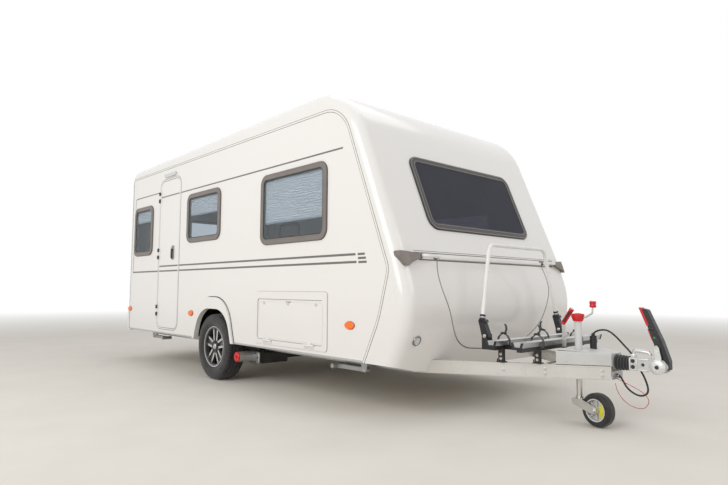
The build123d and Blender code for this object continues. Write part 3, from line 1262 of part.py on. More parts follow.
for hand in (-1, 1):
    shoe_side = rounded_face(
        (
            (HOOP_FOOT[0] - 26, HOOP_FOOT[1] - 16, 10.0),
            (HOOP_FOOT[0] + 34, HOOP_FOOT[1] - 16, 10.0),
            (HOOP_HEEL[0] + 22, HOOP_HEEL[1] - 20, 8.0),
            (HOOP_HEEL[0] - 24, HOOP_HEEL[1] - 20, 8.0),
        )
    )
    low = hand * HOOP_FOOT_HALF - 22
    shoes.append(along_y(shoe_side, low, low + 44))
hoop_whole = hoop + shoes[0] + shoes[1]
for hand in (-1, 1):
    hoop_whole -= rod((HOOP_FOOT[0], hand * HOOP_FOOT_HALF - 40, HOOP_FOOT[1]), (HOOP_FOOT[0], hand * HOOP_FOOT_HALF + 40, HOOP_FOOT[1]), RACK_PIN_RADIUS + 0.1)
save("rack_hoop", hoop_whole)

RACK_BAR_TOP_Z = 535.0
RACK_BAR_DEPTH = 30.0
RACK_BAR_XS = (2258.0, 2470.0)
RACK_BAR_HALF = 600.0
RACK_RAIL_Y = 430.0
rack_low_z = RACK_BAR_TOP_Z - RACK_BAR_DEPTH
rack = Part()
for bar_x in RACK_BAR_XS:
    rack += block(bar_x - 20, bar_x + 20, -RACK_BAR_HALF + 30, RACK_BAR_HALF - 30, rack_low_z, RACK_BAR_TOP_Z)
for hand in (-1, 1):
    rack += block(
        HOOP_FOOT[0] - 40, RACK_BAR_XS[1] + 20, hand * RACK_RAIL_Y - 15, hand * RACK_RAIL_Y + 15,
        rack_low_z, RACK_BAR_TOP_Z,
    )
    foot_y = hand * HOOP_FOOT_HALF
    rack += block(HOOP_FOOT[0] - 22, RACK_BAR_XS[0], foot_y - 33, foot_y + 33, rack_low_z, RACK_BAR_TOP_Z)
    for offset in (-30, 30):
        rack += block(
            HOOP_FOOT[0] - 22, HOOP_FOOT[0] + 22, foot_y + offset - 3, foot_y + offset + 3,
            rack_low_z, HOOP_FOOT[1] + 14,
        )
    rack += rod((HOOP_FOOT[0], foot_y - 33, HOOP_FOOT[1]), (HOOP_FOOT[0], foot_y + 33, HOOP_FOOT[1]), RACK_PIN_RADIUS)
    for bar_x in RACK_BAR_XS:
        post_y = hand * (drawbar_y(bar_x) - 24)
        rack += block(bar_x - 20, bar_x + 20, post_y - 14, post_y + 14, CHASSIS_TOP_Z, RACK_BAR_TOP_Z)
save("rack_base", rack)

CHANNEL_HALF_WIDTH = 30.0
channels = []
for bar_x in RACK_BAR_XS:
    trough = rounded_face(
        (
            (-CHANNEL_HALF_WIDTH - 12, 36.0, 0),
            (-CHANNEL_HALF_WIDTH, 0.0, 8.0),
            (CHANNEL_HALF_WIDTH, 0.0, 8.0),
            (CHANNEL_HALF_WIDTH + 12, 36.0, 0),
            (CHANNEL_HALF_WIDTH + 7, 36.0, 0),
            (CHANNEL_HALF_WIDTH - 5, 5.0, 4.0),
            (-CHANNEL_HALF_WIDTH + 5, 5.0, 4.0),
            (-CHANNEL_HALF_WIDTH - 7, 36.0, 0),
        )
    )
    channel = along_y(Pos(bar_x, 0) * trough, -RACK_BAR_HALF, RACK_BAR_HALF)
    channels.append(Pos(0, 0, RACK_BAR_TOP_Z) * channel)
save("rack_channels", *channels)


# Cables on the coupling: the socket cable with its plug, and the breakaway cable
CABLE_RADIUS = 5.5
BREAKAWAY_RADIUS = 2.0
PLUG_X = 2704.0
PLUG_Y = 44.0
PLUG_RADIUS = 24.0
PLUG_LENGTH = 92.0
plug_top_z = COVER_FRONT_TOP_Z + (COVER_REAR_TOP_Z - COVER_FRONT_TOP_Z) * (COVER_FRONT_X - PLUG_X) / (
    COVER_FRONT_X - COVER_REAR_X
)
plug = rod((PLUG_X, PLUG_Y, plug_top_z - 8), (PLUG_X, PLUG_Y, plug_top_z + PLUG_LENGTH), PLUG_RADIUS)
plug += rod((PLUG_X, PLUG_Y, plug_top_z + PLUG_LENGTH), (PLUG_X, PLUG_Y, plug_top_z + PLUG_LENGTH + 14), 13)
plug -= cover_form(0)
save("road_plug", plug)
GLAND_Y = -14.0
GLAND_Z = 345.0
gland_x = DRAWBAR_TIP_X
CABLE_ROUTE = (
    (PLUG_X, PLUG_Y, plug_top_z + PLUG_LENGTH + 14),
    (2722.0, 44.0, 638.0),
    (2779.0, 45.0, 653.0),
    (2820.0, 52.0, 644.0),
    (2867.0, 66.0, 601.0),
    (2912.0, 78.0, 545.0),
    (2956.0, 82.0, 499.0),
    (2988.0, 78.0, 440.0),
    (3026.0, 58.0, 386.0),
    (3064.0, 26.0, 340.0),
    (3091.0, 2.0, 290.0),
    (3095.0, -10.0, 253.0),
    (3070.0, -18.0, 230.0),
    (3026.0, -20.0, 228.0),
    (2965.0, -18.0, 262.0),
    (2932.0, -15.0, 316.0),
    (gland_x + 32, GLAND_Y, GLAND_Z - 3),
    (gland_x + 24, GLAND_Y, GLAND_Z),
)
BREAKAWAY_ROUTE = (
    (gland_x + 9, -34.0, 330.0),
    (2933.0, -36.0, 314.0),
    (3001.0, -38.0, 289.0),
    (3060.0, -40.0, 264.0),
    (3104.0, -42.0, 231.0),
    (3113.0, -43.0, 194.0),
    (3083.0, -44.0, 151.0),
    (3032.0, -45.0, 146.0),
    (2972.0, -45.0, 166.0),
    (2928.0, -45.0, 206.0),
    (2900.0, -45.0, 255.0),
    (gland_x + 9, -45.0, 296.0),
)


def cord(points, radius):
    """Round cord along a smooth curve through points."""
    path = Spline(*points)
    section = Plane(origin=path @ 0, z_dir=path % 0) * Circle(radius)
    return sweep(section, path=path)


save("road_cable", cord(CABLE_ROUTE, CABLE_RADIUS))
save("breakaway_cable", cord(BREAKAWAY_ROUTE, BREAKAWAY_RADIUS))
tip_plate = block(gland_x, gland_x + 8, -78, 78, RAIL_Z_LOW + 4, COUPLING_Z - BELLOWS_RADIUS - 3)
gland = rod((gland_x + 8, GLAND_Y, GLAND_Z), (gland_x + 24, GLAND_Y, GLAND_Z), 11)
save("drawbar_end_plate", tip_plate + gland)

# Fittings that show through the windows
BENCH_TOP_Z = 900.0
bench_low_z = CHASSIS_TOP_Z + FLOOR_THICKNESS
seat_side = wall_inside - 40
KITCHEN_TOP_Z = 1300.0
UNIT_SKIN = 18.0


def cabinet(x_low, x_high, y_low, y_high, z_high):
    """Box of panels that stands on the floor, open underneath."""
    skin = UNIT_SKIN
    whole = block(x_low, x_high, y_low, y_high, bench_low_z, z_high)
    return whole - block(x_low + skin, x_high - skin, y_low + skin, y_high - skin, 0, z_high - skin)


FRONT_BENCH_X = 1100.0
FRONT_BENCH_DEPTH = 540.0
FRONT_BENCH_INSET = 60.0
KITCHEN_X = -300.0
KITCHEN_LENGTH = 1200.0
KITCHEN_DEPTH = 520.0
BED_SETBACK = 70.0
BED_DEPTH = 660.0
REAR_CUSHION_HEIGHT = 150.0
FRONT_CUSHION_HEIGHT = 140.0
FRONT_CUSHION_DEPTH = 485.0
CUSHION_GAP = 5.0
CUSHION_CORNER = 40.0
bed_x = REAR_FOOT_X + BED_SETBACK
bench_side = seat_side - FRONT_BENCH_INSET
front_bench = cabinet(FRONT_BENCH_X, FRONT_BENCH_X + FRONT_BENCH_DEPTH, -bench_side, bench_side, BENCH_TOP_Z)
kitchen = cabinet(KITCHEN_X, KITCHEN_X + KITCHEN_LENGTH, seat_side - KITCHEN_DEPTH, seat_side, KITCHEN_TOP_Z)
rear_bed = cabinet(bed_x, bed_x + BED_DEPTH, -seat_side, seat_side, BENCH_TOP_Z)
save("interior_units", front_bench, kitchen, rear_bed)
cushion_rear = block(
    bed_x + CUSHION_GAP, bed_x + BED_DEPTH - CUSHION_GAP, -seat_side + 6, seat_side - 6,
    BENCH_TOP_Z + SEAT_GAP, BENCH_TOP_Z + REAR_CUSHION_HEIGHT,
)
cushion_front = block(
    FRONT_BENCH_X + CUSHION_GAP, FRONT_BENCH_X + CUSHION_GAP + FRONT_CUSHION_DEPTH, -bench_side + 6, bench_side - 6,
    BENCH_TOP_Z + SEAT_GAP, BENCH_TOP_Z + FRONT_CUSHION_HEIGHT,
)
soft = []
for cushion in (cushion_rear, cushion_front):
    soft.append(fillet(cushion.edges().filter_by(Axis.Z), CUSHION_CORNER))
save("interior_cushions", *soft)
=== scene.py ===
"""Looks of a single-axle touring caravan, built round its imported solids.

Lengths in the tables below are millimetres in the caravan's own frame: X points forward to the coupling,
Y to the left side, Z up from the ground. Meshes are made in metres.
"""

import logging
import math
from dataclasses import dataclass
from enum import Enum
from typing import Callable, Iterable, Sequence

import bmesh
import bpy
from mathutils import Matrix, Vector
from mathutils.bvhtree import BVHTree

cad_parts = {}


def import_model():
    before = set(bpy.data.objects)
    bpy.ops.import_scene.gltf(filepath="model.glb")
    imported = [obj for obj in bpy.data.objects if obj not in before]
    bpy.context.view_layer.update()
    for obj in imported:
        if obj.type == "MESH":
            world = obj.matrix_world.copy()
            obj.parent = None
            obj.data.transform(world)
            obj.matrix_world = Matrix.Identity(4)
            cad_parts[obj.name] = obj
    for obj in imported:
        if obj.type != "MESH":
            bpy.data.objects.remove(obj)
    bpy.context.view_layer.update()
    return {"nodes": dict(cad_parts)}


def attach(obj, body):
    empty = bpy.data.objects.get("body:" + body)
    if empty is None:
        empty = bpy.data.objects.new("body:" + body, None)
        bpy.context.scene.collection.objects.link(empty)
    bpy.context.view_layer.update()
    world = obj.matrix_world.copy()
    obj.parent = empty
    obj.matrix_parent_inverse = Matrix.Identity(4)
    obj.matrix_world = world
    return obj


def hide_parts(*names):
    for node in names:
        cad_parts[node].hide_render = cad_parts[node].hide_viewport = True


LOG = logging.getLogger("caravan")
MM = 0.001
RAY_START = 3200  # X of rays that look for the front skin
AHEAD = Vector((1, 0, 0))
UP = Vector((0, 0, 1))
XZ_PLANE = Matrix.Rotation(math.pi / 2, 4, "X")  # frame for outlines drawn in X and Z

Point = tuple[float, float, float]
Flat = tuple[float, float]
Corner = Point
Sample = tuple[Vector, Vector]
Box = tuple[float, float, float, float]
Form = bmesh.types.BMesh
Ring = Sequence[bmesh.types.BMVert]
Fill = Callable[[Form], None]
Tree = bpy.types.NodeTree
Socket = bpy.types.NodeSocket
Node = bpy.types.Node
Piece = bpy.types.Object


class Body(str, Enum):
    """Bodies that pieces ride on."""

    CARAVAN = "caravan"
    DOOR = "entrance_door"
    HATCH = "hatch_flap"
    WHEEL_RIGHT = "wheel_right"
    WHEEL_LEFT = "wheel_left"
    JOCKEY_CASTER = "jockey_caster"
    JOCKEY_WHEEL = "jockey_wheel"
    HOOP = "bicycle_hoop"


class Side(int, Enum):
    """Side of the caravan, as the sign of Y."""

    RIGHT = -1
    LEFT = 1

    @property
    def label(self) -> str:
        """The side's word in piece names."""
        return "right" if self is Side.RIGHT else "left"


# Colours and node helpers


def linear(code: str) -> tuple[float, ...]:
    """Turns an sRGB hex colour to linear.

    Args:
        code: Colour as "#RRGGBB".

    Returns:
        Linear red, green, blue and an alpha of one.
    """
    parts = [int(code[i : i + 2], 16) / 255 for i in (1, 3, 5)]
    r, g, b = (c / 12.92 if c <= 0.04045 else ((c + 0.055) / 1.055) ** 2.4 for c in parts)
    return (r, g, b, 1)


def add_node(tree: Tree, kind: str, settings: dict | None = None, **sockets: object) -> Node:
    """Adds a shader node, sets its properties and sockets, and links what is given as an output.

    Args:
        tree: Node tree to add to.
        kind: Node type, such as ShaderNodeTexNoise.
        settings: Properties of the node by name.
        **sockets: Values or output sockets by input name, with _ for a space, or by i0, i1 for an index.

    Returns:
        The new node.
    """
    node = tree.nodes.new(kind)
    for name, value in (settings or {}).items():
        setattr(node, name, value)
    for name, value in sockets.items():
        key: object = int(name[1:]) if name[0] == "i" and name[1:].isdigit() else name.replace("_", " ")
        socket = node.inputs[key]
        if isinstance(value, Socket):
            tree.links.new(value, socket)
        else:
            socket.default_value = value
    return node


def new_material(name: str) -> tuple[bpy.types.Material, Tree, Node]:
    """Makes a node material.

    Args:
        name: Name of the material.

    Returns:
        The material, its tree and its Principled node.
    """
    material = bpy.data.materials.new(name)
    material.use_nodes = True
    tree = material.node_tree
    return material, tree, tree.nodes["Principled BSDF"]


def maths(tree: Tree, operation: str, *values: Socket | float) -> Socket:
    """Result of a maths node on sockets or numbers."""
    inputs = {f"i{index}": value for index, value in enumerate(values)}
    return add_node(tree, "ShaderNodeMath", {"operation": operation}, **inputs).outputs[0]


def preset(shader: Node, **values: object) -> None:
    """Sets inputs of a shader by name, with _ for a space."""
    for name, value in values.items():
        shader.inputs[name.replace("_", " ")].default_value = value


def add_bump(tree: Tree, shader: Node, height: Socket, depth: float, strength: float = 1) -> None:
    """Gives a shader a relief from a height signal, with its depth in metres."""
    bump = add_node(tree, "ShaderNodeBump", None, Height=height, Strength=strength, Distance=depth)
    tree.links.new(bump.outputs["Normal"], shader.inputs["Normal"])


def object_place(tree: Tree) -> Socket:
    """The object-space place of a shaded point, in metres."""
    return add_node(tree, "ShaderNodeTexCoord").outputs["Object"]


def ramp(tree: Tree, source: Socket, low: float, high: float, start: float, end: float) -> Socket:
    """Maps a 0 to 1 signal between two stops onto two values.

    Args:
        tree: Node tree.
        source: Signal.
        low: Signal at which the result is start.
        high: Signal at which the result is end.
        start: Result below low.
        end: Result above high.

    Returns:
        The mapped value.
    """
    node = add_node(tree, "ShaderNodeMapRange", {"clamp": True}, Value=source)
    for key, value in zip(("From Min", "From Max", "To Min", "To Max"), (low, high, start, end)):
        node.inputs[key].default_value = value
    return node.outputs["Result"]


def blend_colour(tree: Tree, share: Socket, first: str | Socket, second: str) -> Socket:
    """Blends a hex colour, or a colour signal, into a second hex colour by a 0 to 1 signal."""
    start = linear(first) if isinstance(first, str) else first
    node = add_node(tree, "ShaderNodeMix", {"data_type": "RGBA"}, i0=share, i6=start, i7=linear(second))
    return node.outputs[2]


def noise(tree: Tree, place: Socket, size_mm: float, detail: float = 3) -> Socket:
    """Noise whose blotches are about size_mm across."""
    node = add_node(tree, "ShaderNodeTexNoise", None, Vector=place, Scale=1000 / size_mm, Detail=detail)
    return node.outputs["Fac"]


# Finishes


@dataclass(frozen=True)
class Finish:
    """Base of all finishes: a Principled surface with a fine relief and an uneven gloss.

    Attributes:
        name: Name of the material.
        colour: Main sRGB colour.
        tint: Second colour, blended in as broad soft patches of dirt, ageing or dye.
        tint_share: Most of the second colour that a patch holds.
        patch_mm: Size of the patches.
        rough: Middle roughness.
        rough_spread: How far roughness wanders each way.
        grain_mm: Size of the surface grain.
        grain_depth_mm: Depth of the grain.
        metal: Metallic share.
        coat: Clear coat weight.
    """

    name: str
    colour: str
    tint: str
    tint_share: float = 0.3
    patch_mm: float = 260
    rough: float = 0.4
    rough_spread: float = 0.06
    grain_mm: float = 1.6
    grain_depth_mm: float = 0.05
    metal: float = 0
    coat: float = 0

    def relief(self, tree: Tree, place: Socket) -> Socket:
        """Height signal of the surface."""
        return noise(tree, place, self.grain_mm, 4)

    def finish_colour(self, tree: Tree, place: Socket) -> Socket:
        """Colour signal of the surface."""
        patches = noise(tree, place, self.patch_mm, 5)
        return blend_colour(tree, ramp(tree, patches, 0.4, 0.75, 0, self.tint_share), self.colour, self.tint)

    def extra(self, shader: Node) -> None:
        """Sets what only this finish has."""

    def build(self) -> bpy.types.Material:
        """Makes the node material."""
        material, tree, shader = new_material(self.name)
        place = object_place(tree)
        tree.links.new(self.finish_colour(tree, place), shader.inputs["Base Color"])
        gloss = noise(tree, place, self.patch_mm * 0.35, 4)
        spread = ramp(tree, gloss, 0.3, 0.7, self.rough - self.rough_spread, self.rough + self.rough_spread)
        tree.links.new(spread, shader.inputs["Roughness"])
        add_bump(tree, shader, self.relief(tree, place), self.grain_depth_mm * MM)
        preset(shader, Metallic=self.metal, Coat_Weight=self.coat)
        self.extra(shader)
        return material


@dataclass(frozen=True)
class CoatedSheet(Finish):
    """Painted sheet on the walls and gelcoat on the mouldings: a broad sheen with a faint orange peel.

    Attributes:
        ripple_mm: Size that the orange peel and the sheet's slow ripple are drawn from.
    """

    ripple_mm: float = 14

    def relief(self, tree: Tree, place: Socket) -> Socket:
        """Orange peel a few millimetres across on a slow ripple of the sheet."""
        peel = noise(tree, place, self.ripple_mm * 0.4, 2)
        wave = noise(tree, place, self.ripple_mm * 14, 1)
        return maths(tree, "MULTIPLY_ADD", wave, 4, peel)


@dataclass(frozen=True)
class BrushedMetal(Finish):
    """Drawn or machined aluminium and steel: hair lines along one axis that stretch the highlights.

    Attributes:
        across: How much finer the lines are along each axis.
    """

    across: Point = (1, 26, 26)

    def relief(self, tree: Tree, place: Socket) -> Socket:
        """Hair lines drawn as coarse as they need to show, about 3 mm apart."""
        stretched = add_node(tree, "ShaderNodeMapping", None, Vector=place, Scale=self.across)
        return noise(tree, stretched.outputs[0], 60, 2)


@dataclass(frozen=True)
class HotDipZinc(Finish):
    """Hot-dip galvanised steel: a dull silver skin broken into spangles with differing brightness.

    Attributes:
        spangle_mm: Size of the spangles.
    """

    spangle_mm: float = 16

    def relief(self, tree: Tree, place: Socket) -> Socket:
        """Runs and small lumps of the zinc bath."""
        return noise(tree, place, 22, 4)

    def finish_colour(self, tree: Tree, place: Socket) -> Socket:
        """Spangle cells between the two tones."""
        cells = add_node(tree, "ShaderNodeTexVoronoi", None, Vector=place, Scale=1000 / self.spangle_mm)
        grey = add_node(tree, "ShaderNodeSeparateColor", None, Color=cells.outputs["Color"])
        share = ramp(tree, grey.outputs[0], 0, 1, 0, self.tint_share)
        return blend_colour(tree, share, self.colour, self.tint)


@dataclass(frozen=True)
class Vulcanised(Finish):
    """Moulded tyre rubber: near black and matt, with dust in soft patches."""

    def extra(self, shader: Node) -> None:
        """A weak sheen from the wax in the rubber."""
        preset(shader, Sheen_Weight=0.25, Specular_IOR_Level=0.35)


@dataclass(frozen=True)
class TintedAcrylic(Finish):
    """Cast acrylic glazing, smoke tinted: it darkens the room behind and mirrors the sky softly.

    Attributes:
        through: Share of light that passes the pane.
    """

    through: float = 0.8

    def extra(self, shader: Node) -> None:
        """Lets light through the pane and gives it acrylic's refraction."""
        preset(shader, Transmission_Weight=self.through, IOR=1.06)


@dataclass(frozen=True)
class LampLens(Finish):
    """Dyed polycarbonate lens: a glossy skin over a field of small moulded prisms.

    Attributes:
        prism_mm: Size of the prisms.
        through: Share of light that passes the lens.
    """

    prism_mm: float = 7
    through: float = 0.25

    def relief(self, tree: Tree, place: Socket) -> Socket:
        """Prisms in a diamond grid."""
        grid = {"distance": "MANHATTAN"}
        scale = 1000 / self.prism_mm
        cells = add_node(tree, "ShaderNodeTexVoronoi", grid, Vector=place, Scale=scale, Randomness=0.05)
        return cells.outputs["Distance"]

    def extra(self, shader: Node) -> None:
        """Light that soaks through the lens and a hard top gloss."""
        soak = (0.01, 0.004, 0.002)
        preset(shader, Transmission_Weight=self.through, Subsurface_Weight=0.1, Subsurface_Radius=soak)


@dataclass(frozen=True)
class Woven(Finish):
    """Woven upholstery: crossing yarns and a soft sheen at grazing light.

    Attributes:
        thread_mm: Distance between the yarns.
    """

    thread_mm: float = 2.4

    def relief(self, tree: Tree, place: Socket) -> Socket:
        """Two crossing sets of yarns, drawn about twice their real spacing so that they show."""
        waves = []
        for direction in ("X", "Y"):
            bands = {"bands_direction": direction}
            scale = 1000 / self.thread_mm / 6.3
            wave = add_node(tree, "ShaderNodeTexWave", bands, Vector=place, Scale=scale, Distortion=0.6)
            waves.append(wave.outputs["Fac"])
        return maths(tree, "MAXIMUM", waves[0], waves[1])

    def extra(self, shader: Node) -> None:
        """Fuzz of loose fibres."""
        preset(shader, Sheen_Weight=0.4, Sheen_Roughness=0.5)


@dataclass(frozen=True)
class PrintedFoil(Finish):
    """Furniture board under a printed wood foil: long grain figure along the board."""

    def finish_colour(self, tree: Tree, place: Socket) -> Socket:
        """Grain streaks about 12 mm wide and very long."""
        stretched = add_node(tree, "ShaderNodeMapping", None, Vector=place, Scale=(0.06, 1, 1))
        streaks = noise(tree, stretched.outputs[0], 14, 6)
        return blend_colour(tree, ramp(tree, streaks, 0.3, 0.7, 0, self.tint_share), self.colour, self.tint)


@dataclass(frozen=True)
class DiamondCutAlloy(Finish):
    """Cast wheel painted black and turned on its face: bright spoke fronts and lip over dark pockets.

    Attributes:
        inner_shade: Near black painted shade on the faces far inside the wheel.
        pocket: Paint of the pockets near the face.
        axle: Middle of the wheels, with Y left at zero.
        spoke_face: Distance of the spokes' front from the caravan's middle, in metres.
        lip_face: Distance of the rim's lip.
        bright_radii: Inner end of the bright spokes and of the bright lip, as radii in metres.
    """

    inner_shade: str = "#121213"
    pocket: str = "#464644"
    axle: Point = (-0.770, 0, 0.334)
    spoke_face: float = 1.128
    lip_face: float = 1.148
    bright_radii: Flat = (0.066, 0.199)

    def build(self) -> bpy.types.Material:
        """Makes the bright metal, the paint and the painted shade far inside, chosen by where a face is and
        how far it looks outward.
        """
        material, tree, shader = new_material(self.name)
        place = object_place(tree)
        normal = add_node(tree, "ShaderNodeTexCoord").outputs["Normal"]
        looks = add_node(tree, "ShaderNodeSeparateXYZ", None, Vector=normal)
        where = add_node(tree, "ShaderNodeSeparateXYZ", None, Vector=place)
        outward = maths(tree, "ABSOLUTE", looks.outputs["Y"])
        reach = maths(tree, "ABSOLUTE", where.outputs["Y"])
        to_axle = tuple(-c for c in self.axle)
        centre = add_node(tree, "ShaderNodeMapping", None, Vector=place, Location=to_axle).outputs[0]
        flat = add_node(tree, "ShaderNodeVectorMath", {"operation": "MULTIPLY"}, i0=centre, i1=(1, 0, 1))
        length = add_node(tree, "ShaderNodeVectorMath", {"operation": "LENGTH"}, i0=flat.outputs[0])
        radius = length.outputs["Value"]
        spokes = ramp(tree, reach, self.spoke_face - 0.003, self.spoke_face - 0.001, 0, 1)
        below_lip = ramp(tree, reach, self.lip_face - 0.012, self.lip_face - 0.010, 1, 0)
        clear_of_hub = ramp(tree, radius, self.bright_radii[0], self.bright_radii[0] + 0.001, 0, 1)
        lip = ramp(tree, radius, self.bright_radii[1], self.bright_radii[1] + 0.001, 0, 1)
        chosen = ramp(tree, outward, 0.80, 0.93, 0, 1)
        for signal in (spokes, clear_of_hub, maths(tree, "MAXIMUM", below_lip, lip)):
            chosen = maths(tree, "MULTIPLY", chosen, signal)
        # Faces far inside the wheel blend to near black: painted shade, not the wheel's paint.
        near_face = ramp(tree, reach, self.spoke_face - 0.034, self.spoke_face - 0.028, 0, 1)
        paint_and_shade = blend_colour(tree, near_face, self.inner_shade, self.pocket)
        tree.links.new(blend_colour(tree, chosen, paint_and_shade, self.colour), shader.inputs["Base Color"])
        tree.links.new(chosen, shader.inputs["Metallic"])
        tree.links.new(ramp(tree, chosen, 0, 1, 0.42, self.rough), shader.inputs["Roughness"])
        circles = {"wave_type": "RINGS", "rings_direction": "Y"}
        rings = add_node(tree, "ShaderNodeTexWave", circles, Vector=centre, Scale=60, Distortion=0.2)
        add_bump(tree, shader, rings.outputs["Fac"], 0.05 * MM, 0.4)
        preset(shader, Coat_Weight=self.coat)
        return material


WALL_SHEET = CoatedSheet(
    "white_coated_wall_sheet", "#EBE8E4", "#E5E2DD", 0.25, 2400, 0.24, 0.012, 5, 0.03, coat=0.25
)
GELCOAT = CoatedSheet(
    "white_gelcoat_moulding", "#EAE7E3", "#E3E0DB", 0.25, 2200, 0.20, 0.012, 6, 0.02, coat=0.35
)
DRAWBAR_SKIN = CoatedSheet(
    "pale_warm_beam_cover", "#D8D4CE", "#C8C3BB", 0.6, 300, 0.30, 0.06, 6, 0.03, coat=0.15
)
FRAME_PLASTIC = Finish("taupe_grained_frame_abs", "#7C746E", "#6C655F", 0.4, 120, 0.42, 0.05, 1.4, 0.10)
CHARCOAL_PLASTIC = Finish("charcoal_grained_frame_abs", "#3B3A3D", "#464549", 0.4, 120, 0.40, 0.05, 1.4, 0.10)
SIDE_PANE = TintedAcrylic(
    "pale_smoke_cast_acrylic", "#D4DBE1", "#C9D2D9", 0.3, 400, 0.05, 0.02, 60, 0.02, through=0.92
)
FRONT_PANE = TintedAcrylic(
    "dark_smoke_cast_acrylic", "#5D5E67", "#52535C", 0.3, 400, 0.06, 0.02, 60, 0.02, through=0.45
)
ZINC = HotDipZinc("hot_dip_zinc", "#B4B5B5", "#9A9C9D", 0.5, 90, 0.42, 0.08, 8, 0.12, metal=0.85)
BRIGHT_ZINC = BrushedMetal("bright_zinc_plate", "#CFCDC8", "#BDBAB3", 0.3, 60, 0.34, 0.05, 5, 0.02, metal=0.9)
LIGHT_GREY_TUBE = CoatedSheet(
    "light_grey_powder_coated_tube", "#D5D5D4", "#C8C8C6", 0.3, 90, 0.32, 0.05, 4, 0.05, coat=0.2
)
PALE_SEAL = Vulcanised("light_grey_seal_rubber", "#B9B6B1", "#A8A5A0", 0.4, 80, 0.62, 0.08, 2.5, 0.05)
LID_SEAL = Vulcanised("taupe_seal_rubber", "#7E7A73", "#6C6862", 0.4, 80, 0.62, 0.08, 2.5, 0.05)
DULL_STEEL = Finish("black_waxed_steel", "#3A3B3C", "#55504A", 0.5, 120, 0.55, 0.1, 3, 0.12, metal=0.5)
SATIN_ALUMINIUM = BrushedMetal(
    "satin_anodised_aluminium", "#C9CACB", "#B5B6B8", 0.4, 200, 0.32, 0.06, 3, 0.02, metal=0.95
)
WHEEL_ALLOY = DiamondCutAlloy("diamond_cut_wheel_alloy", "#D8D8D9", "#C0C0C2", rough=0.26, coat=0.5)
TYRE_RUBBER = Vulcanised("moulded_tyre_rubber", "#2B2A2A", "#4A4642", 0.5, 60, 0.72, 0.1, 1.8, 0.12)
# Black of the rubber seals; the same black also draws dark lines that are painted shadow, round the wheel
# arch trims and along the drawbar cover.
SEAL_RUBBER_AND_SHADE = Vulcanised("black_seal_rubber_and_painted_shade", "#2C2C2D", "#3E3D3C", 0.4, 80, 0.62, 0.08, 2.5, 0.05)
BLACK_PLASTIC = Finish("black_glass_filled_nylon", "#222326", "#303134", 0.4, 60, 0.45, 0.08, 1.2, 0.12)
BLACK_PAINT = Finish("black_powder_coat", "#1D1D1F", "#2B2B2D", 0.4, 60, 0.36, 0.06, 1.6, 0.08, coat=0.2)
HANDLE_PLASTIC = Finish("mid_grey_grained_abs", "#8D8B88", "#7E7C79", 0.4, 60, 0.42, 0.05, 1.4, 0.08)
# Grey of lines that are painted shadow, round the hatch frame and in the hatch's finger slot; it also colours
# the slot's finger tab.
SHADE_LINE_GREY = Finish("grey_painted_shade_lines_and_tab", "#918E8A", "#827F7B", 0.4, 160, 0.45, 0.05, 2.5, 0.03)
GREY_PLASTIC = Finish("light_grey_grained_abs", "#CFCECB", "#C0BEBA", 0.5, 140, 0.46, 0.06, 1.4, 0.10)
RED_PLASTIC = Finish("bright_red_nylon", "#D3121C", "#B30D16", 0.4, 50, 0.34, 0.05, 1.4, 0.05, coat=0.2)
GREEN_PLASTIC = Finish("signal_green_nylon", "#2E9E4A", "#217A38", 0.3, 20, 0.4, 0.05, 1.2, 0.05)
YELLOW_PAINT = Finish("yellow_rim_paint", "#D9D23B", "#C4BC2E", 0.4, 30, 0.42, 0.05, 2, 0.05)
ORANGE_LENS = LampLens(
    "orange_polycarbonate_lens", "#FF7A18", "#F26A0C", 0.3, 30, 0.3, 0.04, 7, 0.3, coat=0.15, through=0.03
)
RED_LENS = LampLens(
    "red_polycarbonate_lens", "#C4101A", "#9F0A12", 0.3, 60, 0.12, 0.03, 9, 0.5, coat=0.6, through=0.15
)
CLEAR_LENS = LampLens("clear_polycarbonate_lens", "#E9E9E6", "#D8D8D4", 0.3, 40, 0.12, 0.03, 6, 0.4, coat=0.6)
CAST_SILVER = Finish(
    "silver_lacquered_casting", "#CACAC8", "#AFAFAD", 0.5, 40, 0.40, 0.08, 2.2, 0.25, metal=0.45
)
POLISHED_CASTING = Finish(
    "pale_silver_casting", "#DEDEDC", "#C4C4C2", 0.5, 36, 0.30, 0.06, 2.6, 0.2, metal=0.4, coat=0.3
)
DARK_CHROME = BrushedMetal("dark_satin_chrome", "#8C8C8C", "#6E6E6E", 0.4, 30, 0.22, 0.05, 4, 0.02, metal=1)
WHITE_TUBE = CoatedSheet(
    "white_powder_coated_tube", "#E9E7E3", "#DAD7D2", 0.4, 120, 0.30, 0.05, 4, 0.05, coat=0.2
)
SEALANT = Finish("grey_joint_sealant", "#6F6D6A", "#5F5D5A", 0.4, 160, 0.6, 0.08, 3, 0.05)
STRIPE_FILM = Finish("dark_grey_cast_vinyl_film", "#6E6C69", "#64625F", 0.4, 200, 0.36, 0.05, 2.5, 0.02)
CUSHION_CLOTH = Woven("beige_woven_upholstery", "#B9AE9F", "#A3988A", 0.4, 90, 0.85, 0.06, 2.4, 0.5)
BLIND_CLOTH = Woven(
    "grey_pleated_blind_cloth", "#ECECEC", "#DEDEDF", 0.3, 120, 0.88, 0.05, 1.6, 0.15, thread_mm=1.6
)
WOOD_FOIL = PrintedFoil("light_oak_printed_foil", "#C8AE8A", "#A98D68", 0.7, 100, 0.42, 0.05, 3, 0.04)
LINING = Finish("pale_wall_lining_foil", "#D9D3C7", "#CBC4B7", 0.3, 300, 0.6, 0.05, 3, 0.05)
WORKTOP = Finish("stone_pattern_laminate", "#8E8A84", "#6F6B65", 0.6, 14, 0.35, 0.05, 3, 0.03)
CABLE_SHEATH = Vulcanised("black_pvc_cable_sheath", "#1E1E20", "#2C2C2E", 0.4, 50, 0.45, 0.06, 2, 0.04)
